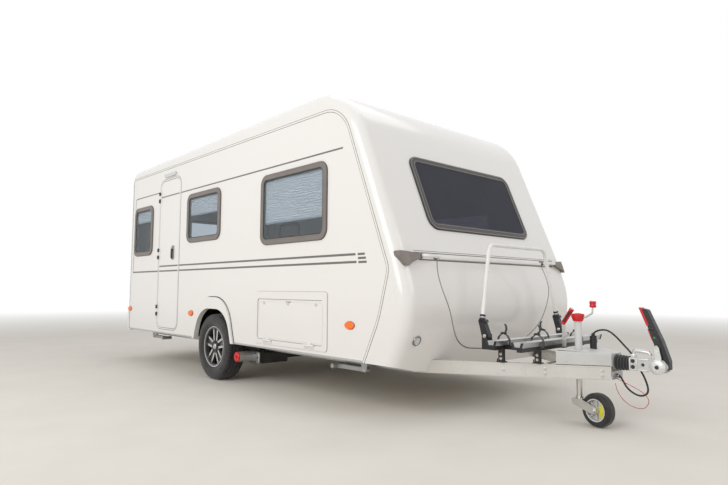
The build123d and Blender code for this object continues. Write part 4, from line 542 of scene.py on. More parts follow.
RED_SHEATH = Vulcanised("red_pvc_coated_wire", "#B8121B", "#8F0E15", 0.4, 50, 0.4, 0.06, 2, 0.03)
PIPING_CORD = Woven("brown_piping_cord", "#8A7D6D", "#746858", 0.4, 40, 0.8, 0.05, 2, 0.4, thread_mm=1.2)
STRAP_WEB = Woven("black_polyester_webbing", "#1F1F22", "#2E2E31", 0.4, 30, 0.8, 0.05, 2, 0.4, thread_mm=2)


class Store:
    """Keeps one built material per finish.

    Attributes:
        made: Built materials by finish name.
    """

    made: dict[str, bpy.types.Material] = {}

    @classmethod
    def get(cls, finish: Finish) -> bpy.types.Material:
        """The material of a finish, built on first use."""
        if finish.name not in cls.made:
            cls.made[finish.name] = finish.build()
        return cls.made[finish.name]


# Mesh helpers


def metres(*values: float) -> Vector:
    """A point in metres from millimetres."""
    return Vector(values) * MM


def polar(radius: float, angle: float, height: float = 0) -> Vector:
    """A point in metres from a radius and a height in millimetres, and an angle in radians."""
    return metres(radius * math.cos(angle), radius * math.sin(angle), height)


def shift(*values: float) -> Matrix:
    """A move by millimetres."""
    return Matrix.Translation(metres(*values))


def sideways(hand: float) -> Vector:
    """Direction out to the right for minus one and to the left for one."""
    return Vector((0, hand, 0))


def third_axis(place: Matrix) -> Vector:
    """Direction of a local frame's third axis."""
    return (place.to_3x3() @ UP).normalized()


def turn_about(axis: str, degrees: float) -> Matrix:
    """A turn about an axis of a local frame."""
    return Matrix.Rotation(math.radians(degrees), 4, axis)


def link(name: str, data: bpy.types.ID) -> Piece:
    """Puts a new object into the scene."""
    made = bpy.data.objects.new(name, data)
    bpy.context.scene.collection.objects.link(made)
    return made


def add_piece(name: str, data: bpy.types.ID, finish: Finish, body: Body) -> Piece:
    """Links an object, gives it its finish and lets it ride on its body.

    Args:
        name: Piece name.
        data: Mesh or curve.
        finish: Finish of the whole piece.
        body: Body that the piece rides on.

    Returns:
        The object.
    """
    data.name = name
    piece = link(name, data)
    data.materials.append(Store.get(finish))
    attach(piece, body.value)
    LOG.info("piece %s on %s", name, body.value)
    return piece


def mesh_from(fill: Fill, smooth_deg: float = 35) -> bpy.types.Mesh:
    """Makes a mesh from a function that fills a bmesh.

    Args:
        fill: Function that adds geometry.
        smooth_deg: Edges sharper than this stay sharp.

    Returns:
        The mesh, with its normals outward and smooth where it is round.
    """
    made = bmesh.new()
    fill(made)
    bmesh.ops.remove_doubles(made, verts=made.verts, dist=1e-6)
    bmesh.ops.recalc_face_normals(made, faces=made.faces)
    for face in made.faces:
        face.smooth = True
    for edge in made.edges:
        if len(edge.link_faces) == 2 and edge.calc_face_angle(0) > math.radians(smooth_deg):
            edge.smooth = False
    mesh = bpy.data.meshes.new("mesh")
    made.to_mesh(mesh)
    made.free()
    return mesh


def shape(name: str, fill: Fill, finish: Finish, body: Body = Body.CARAVAN, smooth_deg: float = 35) -> Piece:
    """Makes a mesh piece from a function that fills a bmesh."""
    return add_piece(name, mesh_from(fill, smooth_deg), finish, body)


def rounded_outline(corners: Sequence[Corner], steps: int = 8) -> list[Flat]:
    """Closed outline with rounded corners.

    Args:
        corners: Corners as u, v and corner radius, in order.
        steps: Points per rounded corner.

    Returns:
        Points of the outline.
    """
    points: list[Flat] = []
    count = len(corners)
    for index, (u, v, radius) in enumerate(corners):
        here = Vector((u, v))
        if radius <= 0:
            points.append((u, v))
            continue
        back = (Vector(corners[index - 1][:2]) - here).normalized()
        ahead = (Vector(corners[(index + 1) % count][:2]) - here).normalized()
        half = back.angle(ahead) / 2
        if half > math.pi / 2 - 0.01:
            points.append((u, v))
            continue
        reach = radius / math.tan(half)
        centre = here + (back + ahead).normalized() * (radius / math.sin(half))
        start = here + back * reach - centre
        end = here + ahead * reach - centre
        turn = start.angle_signed(end)
        for step in range(steps + 1):
            arm = start.copy()
            arm.rotate(Matrix.Rotation(-turn * step / steps, 2))
            points.append(tuple(centre + arm))
    return points


def box_outline(u_low: float, u_high: float, v_low: float, v_high: float, radius: float) -> list[Flat]:
    """Rounded rectangle as an outline."""
    corners = ((u_low, v_low), (u_high, v_low), (u_high, v_high), (u_low, v_high))
    return rounded_outline([(u, v, radius) for u, v in corners])


def offset_outline(points: Sequence[Flat], distance: float) -> list[Flat]:
    """Moves a closed outline inward, for an outline that runs anticlockwise."""
    count = len(points)
    moved = []
    for index, (u, v) in enumerate(points):
        before = Vector(points[index - 1])
        after = Vector(points[(index + 1) % count])
        along = (after - before).normalized()
        moved.append((u - along.y * distance, v + along.x * distance))
    return moved


def grown(box: Box, corner: float, outset: float) -> list[Flat]:
    """Rounded rectangle that runs outside a box by a distance, or inside it where that is below zero."""
    u_low, u_high, v_low, v_high = box
    return box_outline(u_low - outset, u_high + outset, v_low - outset, v_high + outset, corner + outset)


def densify(points: Sequence[Flat], step: float, closed: bool) -> list[Flat]:
    """Adds points so that no run is longer than a step."""
    dense: list[Flat] = []
    runs = list(zip(points, list(points[1:]) + ([points[0]] if closed else [])))
    for start, end in runs:
        length = math.dist(start, end)
        count = max(1, math.ceil(length / step))
        for index in range(count):
            share = index / count
            dense.append((start[0] + (end[0] - start[0]) * share, start[1] + (end[1] - start[1]) * share))
    if not closed:
        dense.append(tuple(points[-1]))
    return dense


def bridge(made: Form, rings: Sequence[Ring], around: bool, wrap: bool, caps: bool) -> None:
    """Skins a run of rings that have equally many points.

    Args:
        made: Mesh to add to.
        rings: Rings of vertices in order.
        around: Whether each ring closes on itself.
        wrap: Whether the last ring joins the first.
        caps: Whether the first and the last ring are filled.
    """
    for ring, following in zip(rings, [*rings[1:], rings[0]] if wrap else rings[1:]):
        for step in range(len(ring) if around else len(ring) - 1):
            other = (step + 1) % len(ring)
            made.faces.new((ring[step], ring[other], following[other], following[step]))
    if caps:
        made.faces.new(rings[0][::-1])
        made.faces.new(rings[-1])


def band(
    made: Form, samples: Sequence[Sample], width: float, proud: float, closed: bool, sink: float = 1.5
) -> None:
    """Adds a strip with chamfered edges that lies on a surface.

    Args:
        made: Mesh to add to.
        samples: Points on the surface with the surface's outward normal, in metres.
        width: Width across the run, in millimetres.
        proud: Height above the surface, in millimetres.
        closed: Whether the run closes on itself.
        sink: Depth of the strip's foot under the surface, in millimetres.
    """
    count = len(samples)
    half, top, foot = width / 2 * MM, proud * MM, -sink * MM
    chamfer = min(top, half) * 0.45
    rising = ((-half, foot), (-half, top - chamfer), (-half + chamfer, top))
    section = (*rising, *((-across, height) for across, height in reversed(rising)))
    rings = []
    for index, (point, normal) in enumerate(samples):
        before = samples[index - 1][0] if index or closed else point
        after = samples[(index + 1) % count][0] if index < count - 1 or closed else point
        into, onward = point - before, after - point
        into = into.normalized() if into.length > 1e-9 else onward.normalized()
        onward = onward.normalized() if onward.length > 1e-9 else into
        forward = (into + onward).normalized()
        side = forward.cross(normal).normalized() / max(0.5, forward.dot(onward))
        rings.append([made.verts.new(point + side * a + normal * h) for a, h in section])
    bridge(made, rings, around=True, wrap=closed, caps=not closed)


def plate(
    made: Form, outline: Sequence[Flat], place: Matrix, low: float, high: float, bevel: float = 0
) -> None:
    """Adds a plate between two heights of a local frame, with a chamfered upper edge.

    Args:
        made: Mesh to add to.
        outline: Closed anticlockwise outline in millimetres.
        place: Local frame: u, v and height to the caravan's frame, in metres.
        low: Lower height in millimetres.
        high: Upper height in millimetres.
        bevel: Chamfer in millimetres.
    """
    levels = [(outline, low), (outline, high - bevel)]
    if bevel > 0:
        levels.append((offset_outline(outline, bevel), high))
    rings = [[made.verts.new(place @ metres(u, v, height)) for u, v in points] for points, height in levels]
    bridge(made, rings, around=True, wrap=False, caps=True)


def side_plate(made: Form, outline: Sequence[Flat], y_first: float, y_second: float, bevel: float) -> None:
    """Adds an upright plate, drawn in X and Z, between two distances from the caravan's middle plane."""
    low, high = sorted((y_first, y_second))
    plate(made, outline, XZ_PLANE, -high, -low, bevel)


def turned(
    made: Form, profile: Sequence[Flat], place: Matrix, segments: int = 48, closed: bool = False
) -> None:
    """Adds a body turned about the local third axis.

    Args:
        made: Mesh to add to.
        profile: Radius and height pairs in millimetres.
        place: Local frame to the caravan's frame.
        segments: Steps round the axis.
        closed: Whether the profile closes on itself, as for a ring.
    """
    rings = []
    for index in range(segments):
        angle = 2 * math.pi * index / segments
        rings.append([made.verts.new(place @ polar(r, angle, h)) for r, h in profile])
    bridge(made, rings, around=closed, wrap=True, caps=False)
    if not closed:
        for step in (0, -1):
            if profile[step][0] > 0:
                made.faces.new([ring[step] for ring in rings])


def facing(point: Vector, normal: Vector, up: Vector = UP) -> Matrix:
    """Local frame at a point whose third axis is the normal and whose second is as near up as it can be."""
    third = normal.normalized()
    first = up.cross(third)
    if first.length < 1e-6:
        first = AHEAD
    first = first.normalized()
    second = third.cross(first)
    turn = Matrix((first, second, third)).transposed().to_4x4()
    return Matrix.Translation(point) @ turn


def bolts(made: Form, places: Iterable[Sample], radius: float, height: float, washer: bool = True) -> None:
    """Adds hexagon heads, each on a washer.

    Args:
        made: Mesh to add to.
        places: Points and outward normals.
        radius: Radius across the corners, in millimetres.
        height: Head height in millimetres.
        washer: Whether a washer lies under the head.
    """
    for point, normal in places:
        local = facing(point, normal)
        rim, step = radius * 1.35, radius * 1.2
        if washer:
            turned(made, ((rim, -1), (rim, 1.2), (step, 1.8), (0, 1.8)), local, 20)
        profile = ((radius, 0), (radius, height + 0.6), (radius * 0.86, height + 2), (0, height + 2))
        turned(made, profile, local, 6)


def tube_curve(name: str, points: Sequence[Point], radius: float, body: Body, finish: Finish) -> Piece:
    """Round tube along a smooth line, as a curve with caps.

    Args:
        name: Piece name.
        points: Points in millimetres.
        radius: Tube radius in millimetres.
        body: Body to ride on.
        finish: Finish.

    Returns:
        The curve object.
    """
    curve = bpy.data.curves.new(name, "CURVE")
    curve.dimensions = "3D"
    spline = curve.splines.new("NURBS")
    spline.points.add(len(points) - 1)
    for target, point in zip(spline.points, points):
        target.co = (*metres(*point), 1)
        target.radius = radius * MM
    spline.order_u = 3
    spline.use_endpoint_u = True
    curve.bevel_depth = 1
    curve.bevel_resolution = 3
    curve.resolution_u = 8
    curve.use_fill_caps = True
    return add_piece(name, curve, finish, body)


class Shell:
    """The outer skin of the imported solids, on which trims and decals are laid."""

    def __init__(self, nodes: dict[str, Piece], names: Sequence[str]) -> None:
        """Builds one search tree over the named nodes."""
        vertices: list[Vector] = []
        faces: list[tuple[int, ...]] = []
        for name in names:
            mesh = nodes[name].data
            start = len(vertices)
            vertices += [v.co.copy() for v in mesh.vertices]
            faces += [tuple(start + i for i in polygon.vertices) for polygon in mesh.polygons]
        self.tree = BVHTree.FromPolygons(vertices, faces)

    def cast(self, origin: Vector, direction: Vector) -> Sample | None:
        """First point of the skin along a ray, with its outward normal."""
        point, normal, _, _ = self.tree.ray_cast(origin, direction)
        if point is None:
            return None
        return point, (-normal if normal.dot(direction) > 0 else normal)

    def lay(self, points: Sequence[Flat], place: Callable[[Flat], Vector], direction: Vector) -> list[Sample]:
        """Lays a run of flat points on the skin.

        Args:
            points: Points in the two coordinates that place understands, in millimetres.
            place: Turns a flat point to a ray start in metres.
            direction: Ray direction.

        Returns:
            Points on the skin with their normals.
        """
        hits = [self.cast(place(p), direction) for p in points]
        return [hit for hit in hits if hit]


@dataclass
class Wall:
    """A flat side wall as a drawing plane.

    Attributes:
        side: Which side.
        face: Distance of the wall from the middle, in millimetres.
    """

    side: Side
    face: float = 1160

    def samples(self, points: Sequence[Flat]) -> list[Sample]:
        """Points on the wall with its normal, run so that strips keep their outside."""
        normal = sideways(self.side)
        return [(metres(x, self.side * self.face, z), normal) for x, z in points]

    def frame(self) -> Matrix:
        """Local frame: u is X on the right and mirrored on the left, v is Z, height is outward."""
        along = Vector((-float(self.side), 0, 0))
        turn = Matrix((along, UP, sideways(self.side))).transposed().to_4x4()
        return shift(0, self.side * self.face, 0) @ turn

    def strips(
        self,
        runs: Sequence[Sequence[Flat]],
        width: float,
        proud: float,
        step: float = 60,
        closed: bool = True,
        drop: float = 0,
        sink: float = 1.5,
    ) -> Fill:
        """Function that lays strips along runs of X and Z points.

        Args:
            runs: Runs of points on the wall.
            width: Width of the strips.
            proud: Height above the wall.
            step: Longest stretch without a point.
            closed: Whether each run closes on itself.
            drop: Depth of the strips' base line under the wall's face.
            sink: Depth of the strips' foot under that line.

        Returns:
            The function, which fills a bmesh.
        """

        def fill(made: Form) -> None:
            """Adds every strip."""
            for run in runs:
                samples = self.samples(densify(run, step, closed))
                band(made, [(p - n * drop * MM, n) for p, n in samples], width, proud, closed, sink)

        return fill


# Camera and studio


@dataclass
class PhotoCamera:
    """Camera at the place from which the photograph was taken.

    Attributes:
        place: Where it stands, in millimetres.
        yaw: Turn of its line of sight from straight back, in degrees.
        pitch: Rise of the line of sight.
        roll: Turn about the line of sight.
        focal: Focal length in pixels of the photograph.
        width: Width of the photograph in pixels.
    """

    place: Point = (4614, -4000, 941)
    yaw: float = 42.695
    pitch: float = 4.663
    roll: float = 0.2515
    focal: float = 562
    width: float = 728

    def build(self) -> Piece:
        """Makes the camera and the scene uses it."""
        data = bpy.data.cameras.new("photo_camera")
        data.sensor_width = 36
        data.lens = self.focal / self.width * data.sensor_width
        data.clip_end = 200
        camera = link("photo_camera", data)
        yaw, pitch, roll = (math.radians(v) for v in (self.yaw, self.pitch, self.roll))
        ahead = Vector((-math.cos(yaw) * math.cos(pitch), math.sin(yaw) * math.cos(pitch), math.sin(pitch)))
        right = ahead.cross(UP).normalized()
        up = right.cross(ahead)
        right_rolled = right * math.cos(roll) + up * math.sin(roll)
        up_rolled = up * math.cos(roll) - right * math.sin(roll)
        turn = Matrix((right_rolled, up_rolled, -ahead)).transposed().to_4x4()
        camera.matrix_world = shift(*self.place) @ turn
        bpy.context.scene.camera = camera
        return camera


@dataclass
class Studio:
    """Pale floor, white surround and soft lamps.

    Attributes:
        floor_colour: Colour of the floor near the caravan.
        floor_tint: Colour of its soft patches.
        world_strength: Strength of the soft light from all round.
        lamps: Place, aim, size and power of each area lamp, in metres and watts.
    """

    floor_colour: str = "#E4DFD6"
    floor_tint: str = "#DCD6CC"
    world_strength: float = 0.58
    lamps: tuple = (
        ("key_lamp", (2, -11, 6), (-0.6, 0, 1.2), 7, 610),
        ("front_lamp", (11, 2.5, 6), (1.5, 0, 1), 6, 190),
        ("top_lamp", (-1, 2, 10), (-0.5, 0, 1), 8, 190),
    )

    def floor(self) -> None:
        """Floor that keeps the shadow near the caravan and turns to the white surround far out."""
        material, tree, shader = new_material("pale_studio_floor")
        place = object_place(tree)
        patches = ramp(tree, noise(tree, place, 500, 4), 0.3, 0.7, 0, 0.5)
        colour = blend_colour(tree, patches, self.floor_colour, self.floor_tint)
        tree.links.new(colour, shader.inputs["Base Color"])
        preset(shader, Roughness=0.9)
        add_bump(tree, shader, noise(tree, place, 12, 3), 0.6 * MM, 0.5)
        distance = add_node(tree, "ShaderNodeVectorMath", {"operation": "LENGTH"}, i0=place)
        share = ramp(tree, distance.outputs["Value"], 7.5, 19, 0, 1)
        glow = add_node(tree, "ShaderNodeEmission", None, Color=linear("#FFFFFF"), Strength=1)
        mix = add_node(tree, "ShaderNodeMixShader", None, i0=share, i1=shader.outputs[0], i2=glow.outputs[0])
        tree.links.new(mix.outputs[0], tree.nodes["Material Output"].inputs["Surface"])

        def build(made: Form) -> None:
            """Disc of rings, so that the floor is one flat sheet."""
            bmesh.ops.create_circle(made, cap_ends=True, segments=96, radius=60)

        mesh = mesh_from(build)
        mesh.materials.append(material)
        link("studio_floor", mesh)

    def surround(self) -> None:
        """World that lights softly and shows white to the camera, mirrors and panes."""
        world = bpy.data.worlds.new("soft_surround")
        bpy.context.scene.world = world
        world.use_nodes = True
        tree = world.node_tree
        tree.nodes.clear()
        light = add_node(
            tree, "ShaderNodeBackground", None, Color=linear("#F4F5F7"), Strength=self.world_strength
        )
        white = add_node(tree, "ShaderNodeBackground", None, Color=linear("#FFFFFF"), Strength=1)
        path = add_node(tree, "ShaderNodeLightPath")
        seen = path.outputs["Is Camera Ray"]
        for name in ("Is Glossy Ray", "Is Transmission Ray"):
            seen = maths(tree, "MAXIMUM", seen, path.outputs[name])
        mix = add_node(tree, "ShaderNodeMixShader", None, i0=seen, i1=light.outputs[0], i2=white.outputs[0])
        output = add_node(tree, "ShaderNodeOutputWorld")
        tree.links.new(mix.outputs[0], output.inputs["Surface"])

    def lights(self) -> None:
        """Soft square area lamps."""
        for name, place, aim, size, power in self.lamps:
            data = bpy.data.lights.new(name, "AREA")
            data.size = size
            data.energy = power
            lamp = link(name, data)
            lamp.location = place
            lamp.rotation_mode = "QUATERNION"
            lamp.rotation_quaternion = (Vector(aim) - Vector(place)).to_track_quat("-Z", "Y")

    def build(self) -> None:
        """Makes floor, surround and lamps, and shows colours as they are written."""
        bpy.context.scene.view_settings.view_transform = "Standard"
        self.floor()
        self.surround()
        self.lights()


# Cords


@dataclass
class Cord:
    """A free cable on the coupling.

    Attributes:
        name: Piece name.
        node: CAD node that the cable replaces.
        points: Route in millimetres, from the exit.
        radius: Radius in millimetres.
        length: Real length in metres; not used.
        far_end: What the far end is; not used.
        stiffness: How stiff the cable is; not used.
        finish: Finish of the sheath.
        on_it: Nodes that go with the cable; not used.
    """

    name: str
    node: str
    points: Sequence[Point]
    radius: float
    length: float
    far_end: str
    stiffness: str
    finish: Finish
    on_it: Sequence[str] = ()

    def build(self, nodes: dict[str, Piece]) -> Piece:
        piece = tube_curve(self.name, self.points, self.radius, Body.CARAVAN, self.finish)
        piece.data.resolution_u = 12
        piece.data.bevel_resolution = 4
        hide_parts(self.node)
        return piece


ROAD_CABLE = Cord(
    "road_cable_sheath",
    "road_cable",
    (
        (2909, -14, 345), (2917, -14, 342), (2932, -15, 316), (2965, -18, 262), (3026, -20, 228),
        (3070, -18, 230), (3095, -10, 253), (3091, 2, 290), (3064, 26, 340), (3026, 58, 386),
        (2988, 78, 440), (2956, 82, 499), (2912, 78, 545), (2867, 66, 601), (2820, 52, 644),
        (2779, 45, 653), (2722, 44, 638), (2704, 44, 617),
    ),
    6.5,
    0.89,
    "plug",
    "medium",
    CABLE_SHEATH,
    ("road_plug",),
)
BREAKAWAY_CABLE = Cord(
    "breakaway_wire",
    "breakaway_cable",
    (
        (2894, -34, 330), (2933, -36, 314), (3001, -38, 289), (3060, -40, 264), (3104, -42, 231),
        (3113, -43, 194), (3083, -44, 151), (3032, -45, 146), (2972, -45, 166), (2928, -45, 206),
        (2900, -45, 255), (2894, -45, 296),
    ),
    2,
    0.56,
    "object",
    "medium",
    RED_SHEATH,
)


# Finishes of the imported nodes

FINISHED_NODES = (
    (WALL_SHEET, "side_wall_right side_wall_left service_hatch door_leaf"),
    (
        GELCOAT,
        "front_panel_upper front_panel_lower front_locker_lid rear_panel roof wheel_arch_trims "
        "service_hatch_frame front_trim_bar rear_bumper",
    ),
    (CLEAR_LENS, "roof_lights clear_lamps"),
    (FRAME_PLASTIC, "window_frames marker_lamp_housings"),
    (SIDE_PANE, "window_panes"),
    (LINING, "floor"),
    (BLACK_PLASTIC, "wheel_boxes wall_hinges stabiliser_lever road_plug"),
    (GREY_PLASTIC, "door_handle drawbar_cover jockey_rim"),
    (WHITE_TUBE, "grab_handles rack_hoop"),
    (ORANGE_LENS, "side_lamps"),
    (RED_LENS, "rear_lamps"),
    (
        ZINC,
        "chassis_rails drawbar_end_plate cross_members axle steady_brackets steady_front_right "
        "steady_front_left steady_rear_right steady_rear_left",
    ),
    (DRAWBAR_SKIN, "drawbar_beams"),
    (CAST_SILVER, "overrun_housing coupling_head"),
    (SEAL_RUBBER_AND_SHADE, "bellows"),
    (BRIGHT_ZINC, "handbrake_lever jockey_inner_tube jockey_fork"),
    (LIGHT_GREY_TUBE, "jockey_outer_tube"),
    (RED_PLASTIC, "jockey_crank"),
    (TYRE_RUBBER, "jockey_tyre tyre_right tyre_left"),
    (DULL_STEEL, "mover"),
    (BLACK_PAINT, "rack_base"),
    (SATIN_ALUMINIUM, "rack_channels"),
    (WHEEL_ALLOY, "rim_right rim_left"),
    (WOOD_FOIL, "interior_units"),
    (CABLE_SHEATH, "road_cable"),
    (RED_SHEATH, "breakaway_cable"),
    (CUSHION_CLOTH, "interior_cushions"),
)


def dress_nodes(nodes: dict[str, Piece]) -> None:
    """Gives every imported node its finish.

    Args:
        nodes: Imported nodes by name.
    """
    for finish, names in FINISHED_NODES:
        for name in names.split():
            mesh = nodes[name].data
            if not mesh.materials:
                mesh.materials.append(None)
            for index in range(len(mesh.materials)):
                mesh.materials[index] = Store.get(finish)
            LOG.info("node %s in %s", name, finish.name)


# Body: trims, films and seals


def paint_faces(node: Piece, finishes: Sequence[Finish], choose: Callable[[Vector], int]) -> None:
    """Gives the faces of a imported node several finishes, chosen by where each face is.

    Args:
        node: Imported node.
        finishes: Finishes, in the order that choose counts.
        choose: Turns a face's middle in millimetres to the finish's number.
    """
    mesh = node.data
    mesh.materials.clear()
    for finish in finishes:
        mesh.materials.append(Store.get(finish))
    for polygon in mesh.polygons:
        polygon.material_index = choose(polygon.center / MM)


@dataclass(frozen=True)
class Split:
    """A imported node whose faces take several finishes.

    Attributes:
        node: Node name.
        finishes: Finishes in the order that choose counts.
        choose: Turns a face's middle in millimetres to the finish's number.
    """

    node: str
    finishes: Sequence[Finish]
    choose: Callable[[Vector], int]


def rear_lens(middle: Vector) -> int:
    """Clear, orange or red field of the rear lamps, counted from the middle outward."""
    return min(2, max(0, int((abs(middle.y) - 720) // 120)))


def mover_part(middle: Vector) -> int:
    """Roller end, roller or housing of the mover."""
    if abs(middle.y) > 1122:
        return 2
    return 1 if abs(middle.y) > 943 else 0


def crank_part(middle: Vector) -> int:
    """Plated arm between the red collar and the red knob."""
    reach = math.hypot(middle.x - 2665, middle.y + 105)
    return 1 if reach > 45 and middle.z < 812 else 0


SPLITS = (
    Split("window_panes", (SIDE_PANE, FRONT_PANE), lambda middle: int(middle.x > 1450)),
    Split("window_frames", (FRAME_PLASTIC, CHARCOAL_PLASTIC), lambda middle: int(middle.x > 1450)),
    Split("door_handle", (HANDLE_PLASTIC, BLACK_PLASTIC), lambda middle: int(middle.y < -1167.5)),
    Split("wall_hinges", (BLACK_PLASTIC, WALL_SHEET), lambda middle: int(middle.x > 0)),
    Split("jockey_crank", (RED_PLASTIC, BRIGHT_ZINC), crank_part),
    Split("rack_hoop", (WHITE_TUBE, BLACK_PLASTIC), lambda middle: int(middle.z < 711)),
    Split("rear_lamps", (CLEAR_LENS, ORANGE_LENS, RED_LENS), rear_lens),
    Split("mover", (DULL_STEEL, SATIN_ALUMINIUM, RED_PLASTIC), mover_part),
    Split("interior_units", (WOOD_FOIL, WORKTOP), lambda middle: int(middle.z > 1299)),
)


@dataclass
class WallFilms:
    """Grey vinyl stripes on one side wall, cut at the door's edges so that the door carries its own lengths.

    Attributes:
        side: Side wall.
        stripes: Height, rear end, front end and width of each straight stripe.
        dashes: Height, rear end and front end of each dash at the front.
        box: Outline corners of the line round the rear window.
        door: Rear and front edge of the door on this side, where it has one.
    """

    side: Side
    stripes: Sequence[Box] = (
        (2050, -2215, 1286, 14),
        (1199, -2173, 1442, 18),
        (1140, -3028, 1453, 18),
    )
    dashes: Sequence[Corner] = ((1199, 1466, 1545), (1168.5, 1470, 1557), (1138, 1475, 1566))
    box: Sequence[Corner] = ((-3024, 1150, 0), (-3001, 2118, 40), (-2231, 2118, 40), (-2215, 2050, 0))
    door: Flat | None = None

    def runs(self, low: float, high: float) -> list[tuple[Body, float, float]]:
        """Lengths of a stripe on the wall and on the door."""
        if self.door is None:
            return [(Body.CARAVAN, low, high)]
        rear, front = self.door
        pieces = []
        if low < rear - 8:
            pieces.append((Body.CARAVAN, low, rear - 5))
        if low < front and high > rear:
            pieces.append((Body.DOOR, max(low, rear + 1), min(high, front - 1)))
        if high > front + 8:
            pieces.append((Body.CARAVAN, max(low, front + 5), high))
        return pieces

    def build(self) -> None:
        """Lays the films on the wall and on the door."""
        wall = Wall(self.side)
        meshes: dict[Body, list[tuple[list[Sample], float]]] = {}
        for height, low, high, width in self.stripes:
            for body, start, end in self.runs(low, high):
                meshes.setdefault(body, []).append((wall.samples([(start, height), (end, height)]), width))
        line = rounded_outline(self.box, 6)
        line = [p for p in line if p[0] <= -2215]
        meshes.setdefault(Body.CARAVAN, []).append((wall.samples(line), 13))
        for height, rear, front in self.dashes:
            meshes[Body.CARAVAN].append((wall.samples([(rear, height), (front, height)]), 17))
        for body, strips in meshes.items():

            def fill(made: Form, strips: list = strips) -> None:
                """Adds the strips of one body."""
                for samples, width in strips:
                    band(made, samples, width, 0.7, False, 0.5)

            shape(f"stripe_film_{self.side.label}_{body.value}", fill, STRIPE_FILM, body)


@dataclass
class SeamTrims:
    """Strips over the joints of walls and mouldings, a dark painted shadow line round the wheel arch trims,
    and the walls' foot rails.

    Attributes:
        seam: Corners of the seam as X, Z and corner radius.
        foot: Height of the walls' lower edge.
        arch: Rear and front end of the gap that the foot rails leave for the wheel.
        arch_half: Half width of the arch trim's outer edge at its foot.
        arch_top: Height of that edge.
        arch_corner: Corner radius of that edge.
        arch_lean: Inward lean of its sides.
        rail_z: Height of the foot rails.
        rail_ends: Rear and front end of the foot rails.
    """

    seam: Sequence[Corner] = (
        (-3103, 393, 0),
        (-3103, 2393, 45),
        (1277, 2393, 329),
        (1792, 1082, 150),
        (1690, 717, 900),
        (1534, 393, 0),
    )
    foot: float = 393
    arch: Flat = (-1212, -328)
    arch_half: float = 439
    arch_top: float = 848
    arch_corner: float = 335
    arch_lean: float = 0.32
    rail_z: float = 402
    rail_ends: Flat = (-3100, 1530)

    def arch_edge(self) -> list[Flat]:
        """Outer edge of the wheel arch trim, from foot to foot."""
        middle = sum(self.arch) / 2
        shoulder = self.arch_half - self.arch_lean * (self.arch_top - self.foot)
        rear = [(middle - self.arch_half, self.foot, 0), (middle - shoulder, self.arch_top, self.arch_corner)]
        front = [
            (middle + shoulder, self.arch_top, self.arch_corner), (middle + self.arch_half, self.foot, 0)
        ]
        return [(x, max(z, self.foot + 3)) for x, z in rounded_outline(rear + front, 14)]

    def build(self) -> None:
        """Lays the strips on both walls."""
        ends = [(corner[0], self.foot + 2) for corner in (self.seam[0], self.seam[-1])]
        line = [ends[0], *rounded_outline(self.seam, 14)[1:-1], ends[1]]
        stops = zip((self.rail_ends[0], self.arch[1]), (self.arch[0], self.rail_ends[1]))
        rails = [[(start, self.rail_z), (end, self.rail_z)] for start, end in stops]
        strips = (
            # Dark band round the arch trim's outer edge: painted shadow of the proud trim.
            ("wheel_arch_shadow_line", [self.arch_edge()], 9, 3, 60, SEAL_RUBBER_AND_SHADE),
            ("seam_cover_strip", [line], 16, 2.2, 120, GELCOAT),
            ("seam_sealant", [line], 24, 0.9, 120, SEALANT),
            ("wall_foot_rail", rails, 15, 3, 300, SATIN_ALUMINIUM),
        )
        for side in Side:
            for name, runs, width, proud, step, finish in strips:
                shape(f"{name}_{side.label}", Wall(side).strips(runs, width, proud, step, False), finish)


@dataclass
class EntranceDoor:
    """Seal in the door's gap, the frame's flange round it, and the edge bead and the lock on the leaf.

    Attributes:
        leaf: Rear, front, lower and upper edge of the leaf.
        corner: Corner radius of the leaf.
        handle: X and Z of the grip's middle.
        handle_face: Y of the grip's face.
    """

    leaf: Box = (-2190, -1645, 466, 2240)
    corner: float = 90
    handle: Flat = (-1801, 1354)
    handle_face: float = -1167

    def ring(self, outset: float) -> list[list[Flat]]:
        """Outline outside the leaf by a distance, as the only run of a strip."""
        return [grown(self.leaf, self.corner, outset)]

    def lock(self, made: Form) -> None:
        """Key cylinder under the grip."""
        place = facing(metres(self.handle[0], self.handle_face, self.handle[1] - 58), sideways(-1))
        turned(made, ((13, -2), (13, 2.4), (11.5, 3.2), (6, 3.2), (5.4, 2.2), (0, 2.2)), place, 32)

    def build(self) -> None:
        """Makes the seal, the flange with its rubber edge, the bead and the lock."""
        wall = Wall(Side.RIGHT)
        shape("door_gap_seal", wall.strips(self.ring(2.5), 4.8, 1, drop=1, sink=6), SEAL_RUBBER_AND_SHADE)
        shape("door_frame_flange", wall.strips(self.ring(13), 14, 2), WALL_SHEET)
        shape("door_frame_sealant", wall.strips(self.ring(21.5), 6, 1.4), SEAL_RUBBER_AND_SHADE)
        shape("door_edge_bead", wall.strips(self.ring(-9), 9, 1.6), WALL_SHEET, Body.DOOR)
        shape("door_key_cylinder", self.lock, BRIGHT_ZINC, Body.DOOR)


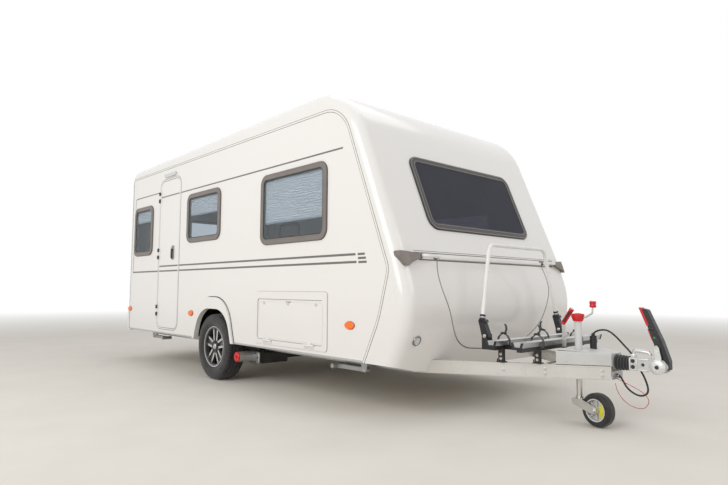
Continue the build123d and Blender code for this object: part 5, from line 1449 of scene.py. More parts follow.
@dataclass
class ServiceHatch:
    """Raised panel's step, gap seal, painted shadow line round the frame, finger slot with its painted
    shadow, and turn locks of the hatch in the right wall.

    Attributes:
        leaf: Rear, front, lower and upper edge of the leaf.
        frame: The same of the frame round it.
        locks: Places of the locks as shares of the leaf's length.
    """

    leaf: Box = (93, 1060, 480, 838)
    frame: Box = (56, 1112, 435, 910)
    locks: Sequence[float] = (0.10, 0.49, 0.90)

    def grip(self, made: Form) -> None:
        """Dark shadow slot along the leaf's head, with the finger tab in its middle."""
        x_low, x_high, _, z_high = self.leaf
        middle = (x_low + x_high) / 2
        wall = Wall(Side.RIGHT)
        wall.strips([[(x_low + 60, z_high - 12), (x_high - 60, z_high - 12)]], 4, 1, 80, False)(made)
        wall.strips([[(middle - 34, z_high - 18), (middle + 34, z_high - 18)]], 11, 3, 80, False)(made)

    def barrels(self, made: Form) -> None:
        """Lock barrels with a key slot ring."""
        x_low, x_high, _, z_high = self.leaf
        for share in self.locks:
            place = facing(metres(x_low + share * (x_high - x_low), -1164, z_high - 32), sideways(-1))
            turned(made, ((12, 0), (12, 2.6), (10.6, 3.4), (5, 3.4), (4.4, 2.2), (0, 2.2)), place, 28)

    def build(self) -> None:
        """Makes the step, the gap seal, the painted shadow line round the frame, the slot and the locks."""
        wall = Wall(Side.RIGHT)
        step = [grown(self.leaf, 32, -16)]
        gap = [grown(self.leaf, 21.5, 2.5)]
        shape("hatch_panel_bead", wall.strips(step, 12, 2.6, 80), WALL_SHEET, Body.HATCH)
        shape("hatch_gap_seal", wall.strips(gap, 4.6, 2.4, drop=4, sink=6), PALE_SEAL)
        # Grey line round the frame: painted shadow of the frame's edge.
        shape("hatch_frame_shadow_line", wall.strips([box_outline(*self.frame, 30)], 5, 1.4), SHADE_LINE_GREY)
        shape("hatch_grip_slot", self.grip, SHADE_LINE_GREY, Body.HATCH)
        shape("hatch_lock_barrels", self.barrels, GREY_PLASTIC, Body.HATCH)


@dataclass
class GlazedOpening:
    """One window: its gasket, inner seal line and pleated blind.

    Attributes:
        name: Word for the window in piece names.
        frame: Local frame of the wall round the window: u along, v up, height outward, in metres.
        half_width: Half the frame's outer width, in millimetres.
        half_height: Half its outer height.
        corner: Outer corner radius.
        drop: Share of the opening that the blind covers, zero for no blind.
        frame_width: Width of the frame.
    """

    name: str
    frame: Matrix
    half_width: float
    half_height: float
    corner: float = 95
    drop: float = 0
    frame_width: float = 48

    def ring(self, inset: float, lift: float = 0) -> list[Sample]:
        """Samples of the frame's outline moved inward, and lifted off the wall by a distance."""
        w, h = self.half_width - inset, self.half_height - inset
        points = densify(box_outline(-w, w, -h, h, max(4, self.corner - inset)), 70, True)
        normal = third_axis(self.frame)
        return [(self.frame @ metres(u, v, 0) + normal * lift * MM, normal) for u, v in points]

    def build(self) -> None:
        """Makes the gaskets and the blind."""

        def gasket(made: Form) -> None:
            """Black seal between frame and pane, and the foot seal on the wall."""
            band(made, self.ring(self.frame_width + 2.5, 9), 11, 2.6, True, 0.5)
            band(made, self.ring(-0.5), 5, 3, True)

        def rim(made: Form) -> None:
            """Rounded edge bead on the frame's face."""
            band(made, self.ring(8, 14), 9, 1.8, True)
            band(made, self.ring(self.frame_width - 6, 14), 7, 1.8, True)

        shape(f"{self.name}_gasket", gasket, SEAL_RUBBER_AND_SHADE)
        shape(f"{self.name}_frame_bead", rim, FRAME_PLASTIC)
        if self.drop > 0:
            self.blind()

    def blind(self) -> None:
        """Pleated blind behind the pane, with its head and foot rails."""
        half = self.half_width - self.frame_width + 0.2
        top = self.half_height - self.frame_width - 14
        length = self.drop * 2 * top
        pleats = max(4, round(length / 22))
        step = length / pleats / 2
        depth = 9
        level = -13

        def cloth(made: Form) -> None:
            """Zigzag sheet of pleats."""
            rows = []
            for index in range(2 * pleats + 1):
                height = level + (depth / 2 if index % 2 else -depth / 2)
                ends = (metres(u, top - index * step, height) for u in (-half + 4, half - 4))
                rows.append([made.verts.new(self.frame @ end) for end in ends])
            bridge(made, rows, around=False, wrap=False, caps=False)

        def rails(made: Form) -> None:
            """Head box and grip rail, held between the frame's cheeks."""
            for v_low, v_high, reach in ((top - 2, top + 14.2, 8), (top - length - 12, top - length + 2, 6)):
                corners = [(-half, v_low), (half, v_low), (half, v_high), (-half, v_high)]
                plate(made, corners, self.frame, level - reach, level + reach, 2)

        sheet = shape(f"{self.name}_blind_cloth", cloth, BLIND_CLOTH, smooth_deg=5)
        rail = shape(f"{self.name}_blind_rails", rails, SATIN_ALUMINIUM)


@dataclass
class Windows:
    """All windows of the caravan.

    Attributes:
        right: Rear end, front end, foot, head and blind share of each window on the right.
        left: The same on the left.
        front: Half width, foot and head of the front window.
        rear: Half width, foot and head of the rear window.
        front_line: Two points of the front wall's slope as X and Z.
        rear_line: The same of the rear wall.
        end_corner: Outer corner radius of the front and the rear window.
    """

    right: Sequence[tuple[float, float, float, float, float]] = (
        (118, 1097, 1335, 1985, 0.74),
        (-1430, -663, 1445, 1995, 0.42),
        (-2990, -2400, 1350, 1985, 0.26),
    )
    left: Sequence[tuple[float, float, float, float, float]] = (
        (118, 1097, 1335, 1985, 0.3),
        (-1300, -533, 1445, 1995, 0.22),
        (-2990, -2400, 1350, 1985, 0.4),
    )
    front: Point = (700, 1400, 2015)
    rear: Point = (560, 1400, 1950)
    front_line: tuple[Flat, Flat] = ((1888, 1172), (1315, 2578))
    rear_line: tuple[Flat, Flat] = ((-3150, 250), (-3172, 2520))
    end_corner: float = 95

    def side_openings(self) -> list[GlazedOpening]:
        """Openings in the two side walls."""
        made = []
        for side, table in ((Side.RIGHT, self.right), (Side.LEFT, self.left)):
            for index, (x_low, x_high, z_low, z_high, drop) in enumerate(table):
                place = Wall(side).frame()
                place.translation = metres((x_low + x_high) / 2, side * Wall.face, (z_low + z_high) / 2)
                half = ((x_high - x_low) / 2, (z_high - z_low) / 2)
                made.append(GlazedOpening(f"window_{side.label}_{index + 1}", place, *half, drop=drop))
        return made

    def end_opening(self, name: str, table: Point, line: tuple[Flat, Flat], forward: float) -> GlazedOpening:
        """Opening in a sloping end wall.

        Args:
            name: Word for piece names.
            table: Half width, foot and head.
            line: Two points of the wall's slope as x and z.
            forward: One for the front, minus one for the rear.

        Returns:
            The opening.
        """
        half, low, high = table
        (x0, z0), (x1, z1) = line
        lean = Vector((x1 - x0, 0, z1 - z0)).normalized()
        if lean.z < 0:
            lean = -lean
        middle_z = (low + high) / 2
        middle_x = x0 + (x1 - x0) / (z1 - z0) * (middle_z - z0)
        normal = Vector((lean.z, 0, -lean.x)) * forward
        place = facing(metres(middle_x, 0, middle_z), normal, lean)
        height = (high - low) / 2 / (lean.z if forward > 0 else 1)
        return GlazedOpening(name, place, half, height, self.end_corner)

    def build(self) -> None:
        """Makes every window's seals and blinds."""
        for opening in self.side_openings():
            opening.build()
        self.end_opening("window_front", self.front, self.front_line, 1).build()
        self.end_opening("window_rear", self.rear, self.rear_line, -1).build()


@dataclass
class FrontFittings:
    """Locker lid seal, decor lines and grab handle cups on the front.

    Attributes:
        lid: Lid outline as y, z and corner radius.
        decor_z: Height of the lowest decor line.
        lines: Half length, lift over the lowest, width and height above the skin of each decor line.
        handle_z: Height of the grab handles.
        handle_ends: Distances of a grab handle's ends from the middle.
    """

    lid: Sequence[Corner] = (
        (-748, 1150, 15),
        (-792, 985, 300),
        (-545, 492, 420),
        (0, 446, 2000),
        (545, 492, 420),
        (792, 985, 300),
        (748, 1150, 15),
    )
    decor_z: float = 1152
    lines: Sequence[Box] = ((955, 0, 10, 1), (985, 52, 7, 1), (985, 66, 4, 0.8))
    handle_z: float = 1179
    handle_ends: Flat = (760, 930)

    def build(self, shell: Shell) -> None:
        """Lays the seals and lines on the front mouldings."""

        def start(point: Flat) -> Vector:
            """Ray start in front of the caravan."""
            return metres(RAY_START, *point)

        lid_ring = densify(rounded_outline(self.lid, 12), 25, True)
        lid_samples = shell.lay(offset_outline(lid_ring, -2), start, -AHEAD)

        def seal(made: Form) -> None:
            """Dark rubber over the gap round the lid."""
            band(made, lid_samples, 6.5, 1.6, True, 4)

        def line(made: Form) -> None:
            """Dark lines under and over the trim bar, from marker to marker, with a finer one above them."""
            for half, lift, width, proud in self.lines:
                run = densify([(-half, self.decor_z + lift), (half, self.decor_z + lift)], 60, False)
                band(made, shell.lay(run, start, -AHEAD), width, proud, False)

        def cups(made: Form) -> None:
            """Dark cups at the ends of the grab handles."""
            cup = ((25, -4), (25, 9), (22, 15), (15.5, 21), (14.2, 30), (13.2, 30), (13.2, 2))
            for hand in (-1, 1):
                for y in self.handle_ends:
                    hit = shell.cast(metres(RAY_START, hand * y, self.handle_z), -AHEAD)
                    if hit:
                        turned(made, cup, facing(hit[0], AHEAD), 32)

        shape("locker_lid_seal", seal, LID_SEAL)
        shape("front_decor_line", line, STRIPE_FILM)
        shape("grab_handle_cups", cups, FRAME_PLASTIC)


# Wheels


@dataclass
class RoadWheel:
    """Road tyre with its tread, and the cap, bolts and valve on the rim.

    Attributes:
        side: Side of the caravan.
        body: Body that spins.
        hub: X and Z of the axle.
        track: Distance of the tyre's middle plane from the caravan's middle.
        hub_face: Distance of the hub's face from the tyre's middle plane.
        blocks: Tread blocks round the tyre.
    """

    side: Side
    body: Body
    hub: Flat = (-770, 334)
    track: float = 1060
    hub_face: float = 68
    blocks: int = 52

    def place(self) -> Matrix:
        """Local frame at the wheel's middle whose third axis points outward."""
        return facing(metres(self.hub[0], self.side * self.track, self.hub[1]), sideways(self.side))

    def tread(self, made: Form) -> None:
        """Ring with grooves round it, cross cuts in the shoulders and a stepped side."""
        half = [
            (190.4, 78), (208, 78.6), (214, 86), (222, 91.5), (238, 96.5), (241, 98.6), (252, 100.2),
            (268, 102.2), (282, 102), (284, 100.6), (300, 98.8), (312, 96.4), (321, 93.6), (327, 89),
            (331.5, 82), (333.6, 74), (334, 60), (327, 59.4), (327, 51), (334, 50.4), (334, 26),
            (327, 25.4), (327, 17), (334, 16.4), (334, 5),
        ]
        profile = half + [(r, -h) for r, h in reversed(half)]
        place = self.place()
        pitch = 2 * math.pi / self.blocks
        rings = []
        for block in range(self.blocks):
            for share, cut in ((0, True), (0.15, True), (0.16, False), (0.55, False), (0.99, False)):
                ring = []
                for r, h in profile:
                    lag = 0.35 * pitch if abs(h) < 30 else 0
                    angle = (block + share) * pitch + lag + abs(h) * 0.0006
                    shoulder = abs(h) > 60.1 and r > 300
                    rib = 26.1 < abs(h) < 50 and r > 330
                    sunk = (6 if shoulder else 0) if cut else 0
                    sunk = 4 if cut and rib else sunk
                    reach = r - sunk
                    ring.append(made.verts.new(place @ polar(reach, angle, h)))
                rings.append(ring)
        bridge(made, rings, around=True, wrap=True, caps=False)

    def cap(self, made: Form) -> None:
        """Plain centre cap with a rim."""
        place = self.place() @ shift(0, 0, self.hub_face)
        turned(made, ((30, 2), (30, 7), (28, 9.5), (24.5, 9.5), (23.5, 8), (12, 10), (0, 10.4)), place, 48)

    def hub_cover(self, made: Form) -> None:
        """Black dished cover over the hub, with a stepped edge."""
        place = self.place() @ shift(0, 0, self.hub_face)
        profile = ((65, -3), (65, 1.5), (62, 3.2), (58, 3.2), (56, 2), (34, 1.6), (32, 3), (0, 3))
        turned(made, profile, place, 56)

    def fixings(self, made: Form) -> None:
        """Five wheel bolts in their wells and the valve."""
        place = self.place()
        outward = third_axis(place)
        for index in range(5):
            angle = math.radians(90 + 72 * index)
            spot = place @ polar(46, angle, self.hub_face + 1.5)
            bolts(made, [(spot, outward)], 8.5, 4)
        stem = facing(place @ polar(176, math.radians(55), 62), outward)
        turned(made, ((4.5, -20), (4.5, 14), (3.6, 17), (3.6, 24), (0, 24)), stem, 14)

    def build(self) -> None:
        """Makes the tyre and the fittings of the rim."""
        word = self.side.label
        tyre = shape(f"treaded_tyre_{word}", self.tread, TYRE_RUBBER, self.body, 28)
        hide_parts(f"tyre_{word}")
        shape(f"wheel_centre_cap_{word}", self.cap, SATIN_ALUMINIUM, self.body)
        shape(f"wheel_hub_cover_{word}", self.hub_cover, BLACK_PLASTIC, self.body)
        shape(f"wheel_bolts_{word}", self.fixings, DULL_STEEL, self.body)


# Small solids for fittings


def spindle(
    made: Form, start: Point, end: Point, radius: float, chamfer: float = 1, segments: int = 24
) -> None:
    """Adds a round bar with chamfered ends between two points in millimetres."""
    first, last = metres(*start), metres(*end)
    length = (last - first).length / MM
    neck = radius - chamfer
    profile = ((0, 0), (neck, 0), (radius, chamfer), (radius, length - chamfer), (neck, length), (0, length))
    turned(made, profile, facing(first, last - first), segments)


def brick(made: Form, low: Point, high: Point, bevel: float = 2, place: Matrix | None = None) -> None:
    """Adds a block with rounded edges between two corners in millimetres.

    Args:
        made: Mesh to add to.
        low: Lower corner.
        high: Upper corner.
        bevel: Edge radius.
        place: Frame of the corners, the caravan's own where it is None.
    """
    size = [(h - l) * MM for l, h in zip(low, high)]
    middle = shift(*((l + h) / 2 for l, h in zip(low, high)))
    block = (place or Matrix.Identity(4)) @ middle @ Matrix.Diagonal((*size, 1))
    cube = bmesh.ops.create_cube(made, size=1, matrix=block)
    edges = {edge for vert in cube["verts"] for edge in vert.link_edges}
    bmesh.ops.bevel(made, geom=list(edges), offset=bevel * MM, segments=2, profile=0.6, affect="EDGES")


def along(points: Sequence[Point], radius: float, made: Form, segments: int = 12) -> None:
    """Adds a round bar that bends at each point of a run in millimetres."""
    spots = [metres(*p) for p in points]
    rings = []
    for index, spot in enumerate(spots):
        before = spots[max(index - 1, 0)]
        after = spots[min(index + 1, len(spots) - 1)]
        place = facing(spot, after - before, Vector((0.13, 0.97, 0.2)))
        angles = (2 * math.pi * step / segments for step in range(segments))
        rings.append([made.verts.new(place @ polar(radius, angle)) for angle in angles])
    bridge(made, rings, around=True, wrap=False, caps=True)


def beam_y(x: float) -> float:
    """Outer face of the drawbar beam at a value of X, as a positive half width."""
    return 84 + 0.64 * (2885 - x)


def beam_normal(hand: int) -> Vector:
    """Outward direction of a drawbar beam's face."""
    return Vector((0.54, hand * 0.84, 0)).normalized()


# Fittings on the drawbar


@dataclass
class JockeyFittings:
    """Clamp ring, tommy bar, collar ribs and the wheel's small parts of the jockey wheel.

    Attributes:
        stem: X and Y of the tube.
        turn: Turn of the caster about the tube, in degrees.
        trail: Distance of the wheel's axle from the tube.
        radius: Tyre radius.
        half: Half the tyre's width.
    """

    stem: Flat = (2665, -105)
    turn: float = -12.5
    trail: float = 150
    radius: float = 115
    half: float = 39

    def caster(self) -> Matrix:
        """Frame of the caster: its first axis points to the wheel's axle."""
        return shift(*self.stem, 0) @ turn_about("Z", self.turn)

    def wheel(self, hand: int) -> Matrix:
        """Frame at the wheel's middle whose third axis points to one side of the caster."""
        spot = self.caster() @ shift(self.trail, 0, self.radius)
        return spot @ Matrix.Rotation(-hand * math.pi / 2, 4, "X")

    def clamp(self, made: Form) -> None:
        """Split clamp round the tube with its two ears and pivot bolts."""
        x, y = self.stem
        ring = shift(x, y, 352)
        turned(made, ((25.2, 0), (31, 0), (32, 1), (32, 39), (31, 40), (25.2, 40)), ring, 40, closed=True)
        brick(made, (x - 12, y - 52, 356), (x + 12, y - 28, 388), 2)
        bolts(made, [(metres(x - 30, y - 30, 372), sideways(-1))], 8, 5)

    def tommy(self, made: Form) -> None:
        """Bent clamping handle with round ends."""
        x, y = self.stem
        spindle(made, (x, y - 44, 372), (x, y - 70, 372), 7)
        bar = [(x - 46, y - 66, 352), (x - 10, y - 64, 368), (x + 16, y - 64, 376), (x + 60, y - 68, 386)]
        along(bar, 5.5, made)
        for end in (bar[0], bar[-1]):
            turned(made, ((0, -8), (6, -7), (8, -3), (8, 3), (6, 7), (0, 8)), shift(*end), 18)

    def beads(self, made: Form) -> None:
        """Rolled beads at the ends of the outer tube."""
        x, y = self.stem
        for z in (327, 340, 700):
            profile = ((25, 0), (26.8, 1), (27.4, 3.5), (26.8, 6), (25, 7))
            turned(made, profile, shift(x, y, z), 40, closed=True)

    def collar(self, made: Form) -> None:
        """Grip ribs round the red collar and a ring under it."""
        x, y = self.stem
        for index in range(28):
            angle = 2 * math.pi * index / 28
            place = shift(x, y, 0) @ Matrix.Rotation(angle, 4, "Z")
            brick(made, (41.5, -1.6, 739), (45, 1.6, 757), 0.8, place)
        profile = ((36, 762), (41.5, 763), (40, 766), (20, 767.5), (18, 770), (0, 770))
        turned(made, profile, shift(x, y, 0), 40)

    def knob(self, made: Form) -> None:
        """Rounded cap and waist of the crank's knob."""
        x, y = self.stem
        place = shift(x + 113, y, 0)
        profile = (
            (20.2, 815), (22.5, 819), (22.5, 829), (20.4, 834), (20.4, 838), (22.8, 843), (22.8, 853),
            (20, 857.4), (0, 857.8),
        )
        turned(made, profile, place, 32)

    def ribs(self, made: Form) -> None:
        """Rings moulded on both sides of the solid tyre."""
        for hand in (-1, 1):
            place = self.wheel(hand)
            for r in (84, 96):
                foot, crest = self.half - 1, self.half + 1.6
                profile = ((r - 2, foot), (r - 1, crest), (r + 1, crest), (r + 2, foot))
                turned(made, profile, place, 56, closed=True)

    def rim(self, made: Form) -> None:
        """Bead ring, spokes and hub boss on both sides of the rim."""
        for hand in (-1, 1):
            place = self.wheel(hand)
            profile = ((69.5, 30), (69.5, 36), (72, 38.4), (77, 38.4), (78, 36), (78, 30))
            turned(made, profile, place, 56, closed=True)
            for index in range(8):
                spoke = place @ turn_about("Z", 45 * index)
                brick(made, (22, -4.5, 5), (72, 4.5, 21), 2, spoke)
            turned(made, ((12, 38), (22, 38), (24, 36), (24, 20), (12, 20)), place, 32, closed=True)

    def mark(self, made: Form) -> None:
        """Painted sector between two of the rim's spokes, with its raised rib."""
        place = self.wheel(-1)
        turns = [math.radians(degrees) for degrees in range(-52, 53, 8)]
        outline = [(66 * math.cos(a), 66 * math.sin(a)) for a in turns]
        outline += [(30 * math.cos(a), 30 * math.sin(a)) for a in reversed(turns)]
        plate(made, outline, place, 19, 24.5, 1.2)
        plate(made, [(u * 0.86 + 6, v * 0.5) for u, v in outline], place, 22, 28.5, 1.2)

    def nuts(self, made: Form) -> None:
        """Axle nuts, the caster pin's nut and the plate's rivets."""
        for hand in (-1, 1):
            place = self.wheel(hand)
            outward = third_axis(place)
            bolts(made, [(place @ metres(0, 0, 53.2), outward)], 15, 9)
        base = self.caster()
        for u, v in ((46, -38), (46, 38), (-16, -38), (-16, 38)):
            bolts(made, [(base @ metres(u, v, 174.2), UP)], 7, 3, washer=False)

    def build(self) -> None:
        """Makes every fitting."""
        shape("jockey_clamp_ring", self.clamp, BRIGHT_ZINC)
        shape("jockey_tommy_bar", self.tommy, BRIGHT_ZINC)
        shape("jockey_tube_beads", self.beads, LIGHT_GREY_TUBE)
        shape("jockey_collar_ribs", self.collar, RED_PLASTIC)
        shape("jockey_crank_knob", self.knob, RED_PLASTIC)
        shape("jockey_tyre_ribs", self.ribs, TYRE_RUBBER, Body.JOCKEY_WHEEL)
        shape("jockey_rim_rings", self.rim, GREY_PLASTIC, Body.JOCKEY_WHEEL)
        shape("jockey_rim_mark", self.mark, YELLOW_PAINT, Body.JOCKEY_WHEEL)
        shape("jockey_axle_nuts", self.nuts, BRIGHT_ZINC, Body.JOCKEY_CASTER)


@dataclass
class CouplingFittings:
    """Friction pad discs, handle, bolts and grips on the coupling head and its bellows.

    Attributes:
        ball: X and Z of the ball.
        line: Height of the coupling line.
        rear: X of the head's rear end.
    """

    ball: Flat = (3178, 434)
    line: float = 436
    rear: float = 2986

    def discs(self, made: Form) -> None:
        """Domed discs over the friction pads, with a raised rim."""
        x, z = self.ball
        for hand in (-1, 1):
            place = facing(metres(x, hand * 59, z), sideways(hand))
            profile = ((47, -4), (49, -1), (49, 3), (46, 7), (40, 10.5), (30, 13.5), (20, 14.5), (0, 14.5))
            turned(made, profile, place, 56)

    def disc_bolts(self, made: Form) -> None:
        """Dark socket screws in the middle of the discs and the head's cross bolts."""
        x, z = self.ball
        for hand in (-1, 1):
            outward = sideways(hand)
            place = facing(metres(x, hand * 73, z), outward)
            turned(made, ((13, -2), (13, 2.6), (11.6, 3.8), (7, 3.8), (6.4, 1), (0, 1)), place, 32)
            for dx, dz in ((26, -18), (26, 22)):
                bolts(made, [(metres(self.rear + dx, hand * 38, self.line + dz), outward)], 10, 6)
            bolts(made, [(metres(self.rear + 92, hand * 38, self.line + 2), outward)], 8, 4)

    def ribs(self, made: Form) -> None:
        """Cast ribs and flange along the head."""
        x, z = self.rear, self.line
        for hand in (-1, 1):
            low, high = sorted((hand * 38, hand * 43))
            for x0, x1, z0, z1 in ((2, 11, -40, 42), (48, 55, -36, 40), (8, 128, 34, 41), (8, 122, -38, -31)):
                brick(made, (x + x0, low, z + z0), (x + x1, high, z + z1), 2)

    def handle(self, made: Form) -> None:
        """Cast grip of the ball lock: a wide bar on a stout foot."""
        rear = self.rear + 20
        brick(made, (rear - 14, -20, self.line + 40), (rear + 14, 20, self.line + 66), 5)
        path = ((0, 60), (4, 82), (20, 90), (60, 87), (96, 82), (108, 75), (108, 62))
        along([(rear + dx, 0, self.line + dz) for dx, dz in path], 12.5, made, 16)

    def yoke(self, made: Form) -> None:
        """Upright arms that join the long lever to the discs."""
        x, z = self.ball
        for hand in (-1, 1):
            arm = ((-20, 24), (24, 16), (22, 60), (8, 128), (-4, 140), (-18, 136), (-24, 124), (-16, 60))
            side_plate(made, [(x + u, z + v) for u, v in arm], hand * 47, hand * 57, 2)
        spindle(made, (x - 10, -57, z + 126), (x - 10, 57, z + 126), 8)

    def grips(self, made: Form) -> None:
        """Red strip along the lever's upper end and the short red tongue below it."""
        x = self.ball[0]
        strip = [(x - 119, 820), (x - 96, 762), (x - 72, 700), (x - 60, 706), (x - 84, 766), (x - 104, 819)]
        side_plate(made, strip[::-1], -27.6, 27.6, 1.6)
        tongue = [(x - 66, 676), (x - 50, 628), (x - 38, 600), (x - 20, 606), (x - 34, 640), (x - 50, 682)]
        side_plate(made, tongue[::-1], -24, 24, 2)

    def collar_block(self, made: Form) -> None:
        """Latch block and cheek plates on the lever."""
        x = self.ball[0]
        brick(made, (x - 62, -30, 668), (x - 24, 30, 690), 4)
        cheek = [
            (x - 14, 540), (x + 8, 520), (x + 44, 452), (x + 58, 456), (x + 26, 560), (x - 8, 640),
            (x - 30, 650),
        ]
        for hand in (-1, 1):
            side_plate(made, cheek, hand * 26, hand * 29.5, 1.2)

    def tell_tale(self, made: Form) -> None:
        """Round green sign on the side of the lever."""
        place = facing(metres(self.ball[0] - 24, -29, 622), sideways(-1))
        turned(made, ((7, -2), (7, 2), (5.6, 3.2), (0, 3.2)), place, 24)

    def clips(self, made: Form) -> None:
        """Clamp bands round both ends of the bellows."""
        for x, r in ((2891, 45), (2979, 41.5)):
            place = facing(metres(x, 0, self.line), AHEAD)
            turned(made, ((r, -4), (r + 2, -3.4), (r + 2, 3.4), (r, 4)), place, 56, closed=True)
            brick(made, (x - 5, -8, self.line + r), (x + 5, 8, self.line + r + 8), 1.5)

    def build(self) -> None:
        """Makes every fitting."""
        shape("coupling_pad_discs", self.discs, POLISHED_CASTING)
        shape("coupling_bolts", self.disc_bolts, DULL_STEEL)
        shape("coupling_cast_ribs", self.ribs, POLISHED_CASTING)
        shape("coupling_handle_grip", self.handle, POLISHED_CASTING)
        shape("coupling_yoke", self.yoke, POLISHED_CASTING)
        shape("lever_red_grips", self.grips, RED_PLASTIC)
        shape("lever_latch_block", self.collar_block, BLACK_PLASTIC)
        shape("lever_tell_tale", self.tell_tale, GREEN_PLASTIC)
        shape("bellows_clips", self.clips, BLACK_PLASTIC)


@dataclass
class DrawbarFittings:
    """Painted shadow line and screws of the drawbar cover, the handbrake's grip and gaiter, and the cable's
    exit sleeve.

    Attributes:
        cover: Rear and front end of the cover.
        top: Height of the beams' upper face.
        brake: X and Y of the handbrake.
    """

    cover: Flat = (2582, 2887)
    top: float = 412
    brake: Flat = (2545, -72)

    def seam(self, made: Form) -> None:
        """Dark strip along the joint between cover and beam: painted shadow."""
        for hand in (-1, 1):
            x_low, x_high = self.cover
            normal = beam_normal(hand)
            stops = (x_low, (x_low + x_high) / 2, x_high - 4)
            run = [(metres(x, hand * beam_y(x), self.top + 1.5), normal) for x in stops]
            band(made, run, 4, 1, False, 0.6)

    def ledge(self, made: Form) -> None:
        """Folded edges along the top and the foot of both beams, ahead of the front moulding."""
        for hand in (-1, 1):
            normal = beam_normal(hand)
            for z in (404, 326):
                run = [(metres(x, hand * beam_y(x), z), normal) for x in (1930, 2403, 2876)]
                band(made, run, 9, 2.4, False)

    def screws(self, made: Form) -> None:
        """Cover screws, beam bolts and the end plate's bolts."""
        for hand in (-1, 1):
            normal = beam_normal(hand)
            for x in (2640, 2740, 2840):
                spot = metres(x, hand * (beam_y(x) - 1.5), self.top + 26)
                turned(made, ((6, -1), (6, 1.6), (4.6, 2.8), (2, 2.8), (0, 1.4)), facing(spot, normal), 18)
            for x, z in ((2520, 380), (2520, 345), (2838, 380), (2838, 345), (2280, 362)):
                bolts(made, [(metres(x, hand * beam_y(x), z), normal)], 9, 5)

    def grip(self, made: Form) -> None:
        """Red handbrake grip with finger ribs and a button."""
        x, y = self.brake
        foot = Vector((x - 12, y, 690))
        head = Vector((x + 62, y, 800))
        way = (head - foot).normalized()
        start = foot - way * 4
        length = (head - foot).length + 4
        profile = [(0, 0), (15.4, 0), (17.6, 2.5)]
        ribs = 7
        for index in range(ribs):
            h = 10 + index * (length - 26) / ribs
            profile += [(17.6, h), (16.2, h + 3), (16.2, h + 7), (17.6, h + 10)]
        profile += [(17.6, length - 5), (15, length - 1), (0, length - 1)]
        turned(made, profile, facing(start * MM, way), 28)

    def grip_side(self, made: Form) -> None:
        """Black inlay on the side of the grip."""
        x, y = self.brake
        outline = [(x - 8, 704), (x + 6, 700), (x + 58, 776), (x + 46, 782)]
        for hand in (-1, 1):
            side_plate(made, outline, y + hand * 12, y + hand * 18.8, 1.2)

    def gaiter(self, made: Form) -> None:
        """Rubber gaiter where the handbrake leaves the cross plate."""
        x, y = self.brake
        profile = (
            (15, 478), (30, 480), (27, 486), (29, 490), (24, 496), (26, 500), (20, 507), (21, 511), (14, 518),
            (9, 520),
        )
        turned(made, profile, shift(x - 6, y, 0), 32)

    def sleeve(self, made: Form) -> None:
        """Tapered strain relief where the road cable leaves the end plate."""
        way = Vector((32, -1, -18)).normalized()
        place = facing(metres(2893, -14, 350), way)
        profile = (
            (11, 0), (11, 6), (9.4, 9), (9.4, 12), (8.4, 14), (8.4, 18), (7.4, 20), (7.4, 25), (6.2, 31),
            (5.4, 31),
        )
        turned(made, profile, place, 24)

    def plug(self, made: Form) -> None:
        """Grip ribs and collar of the parked plug."""
        place = shift(2704, 44, 0)
        for z in (540, 552, 564, 576):
            turned(made, ((18, z), (20.5, z + 1.5), (20.5, z + 5), (18, z + 6.5)), place, 32, closed=True)
        turned(made, ((6, 624), (9.4, 612), (11, 606), (13, 602)), place, 24)

    def build(self) -> None:
        """Makes every fitting."""
        # Black strip on the cover's lower edge: painted shadow of the joint.
        shape("drawbar_cover_shadow_line", self.seam, SEAL_RUBBER_AND_SHADE)
        shape("drawbar_beam_edges", self.ledge, DRAWBAR_SKIN)
        shape("drawbar_bolts", self.screws, BRIGHT_ZINC)
        shape("handbrake_grip", self.grip, RED_PLASTIC)
        shape("handbrake_grip_inlay", self.grip_side, BLACK_PLASTIC)
        shape("handbrake_gaiter", self.gaiter, SEAL_RUBBER_AND_SHADE)
        shape("road_cable_sleeve", self.sleeve, CABLE_SHEATH)
        shape("road_plug_ribs", self.plug, BLACK_PLASTIC)


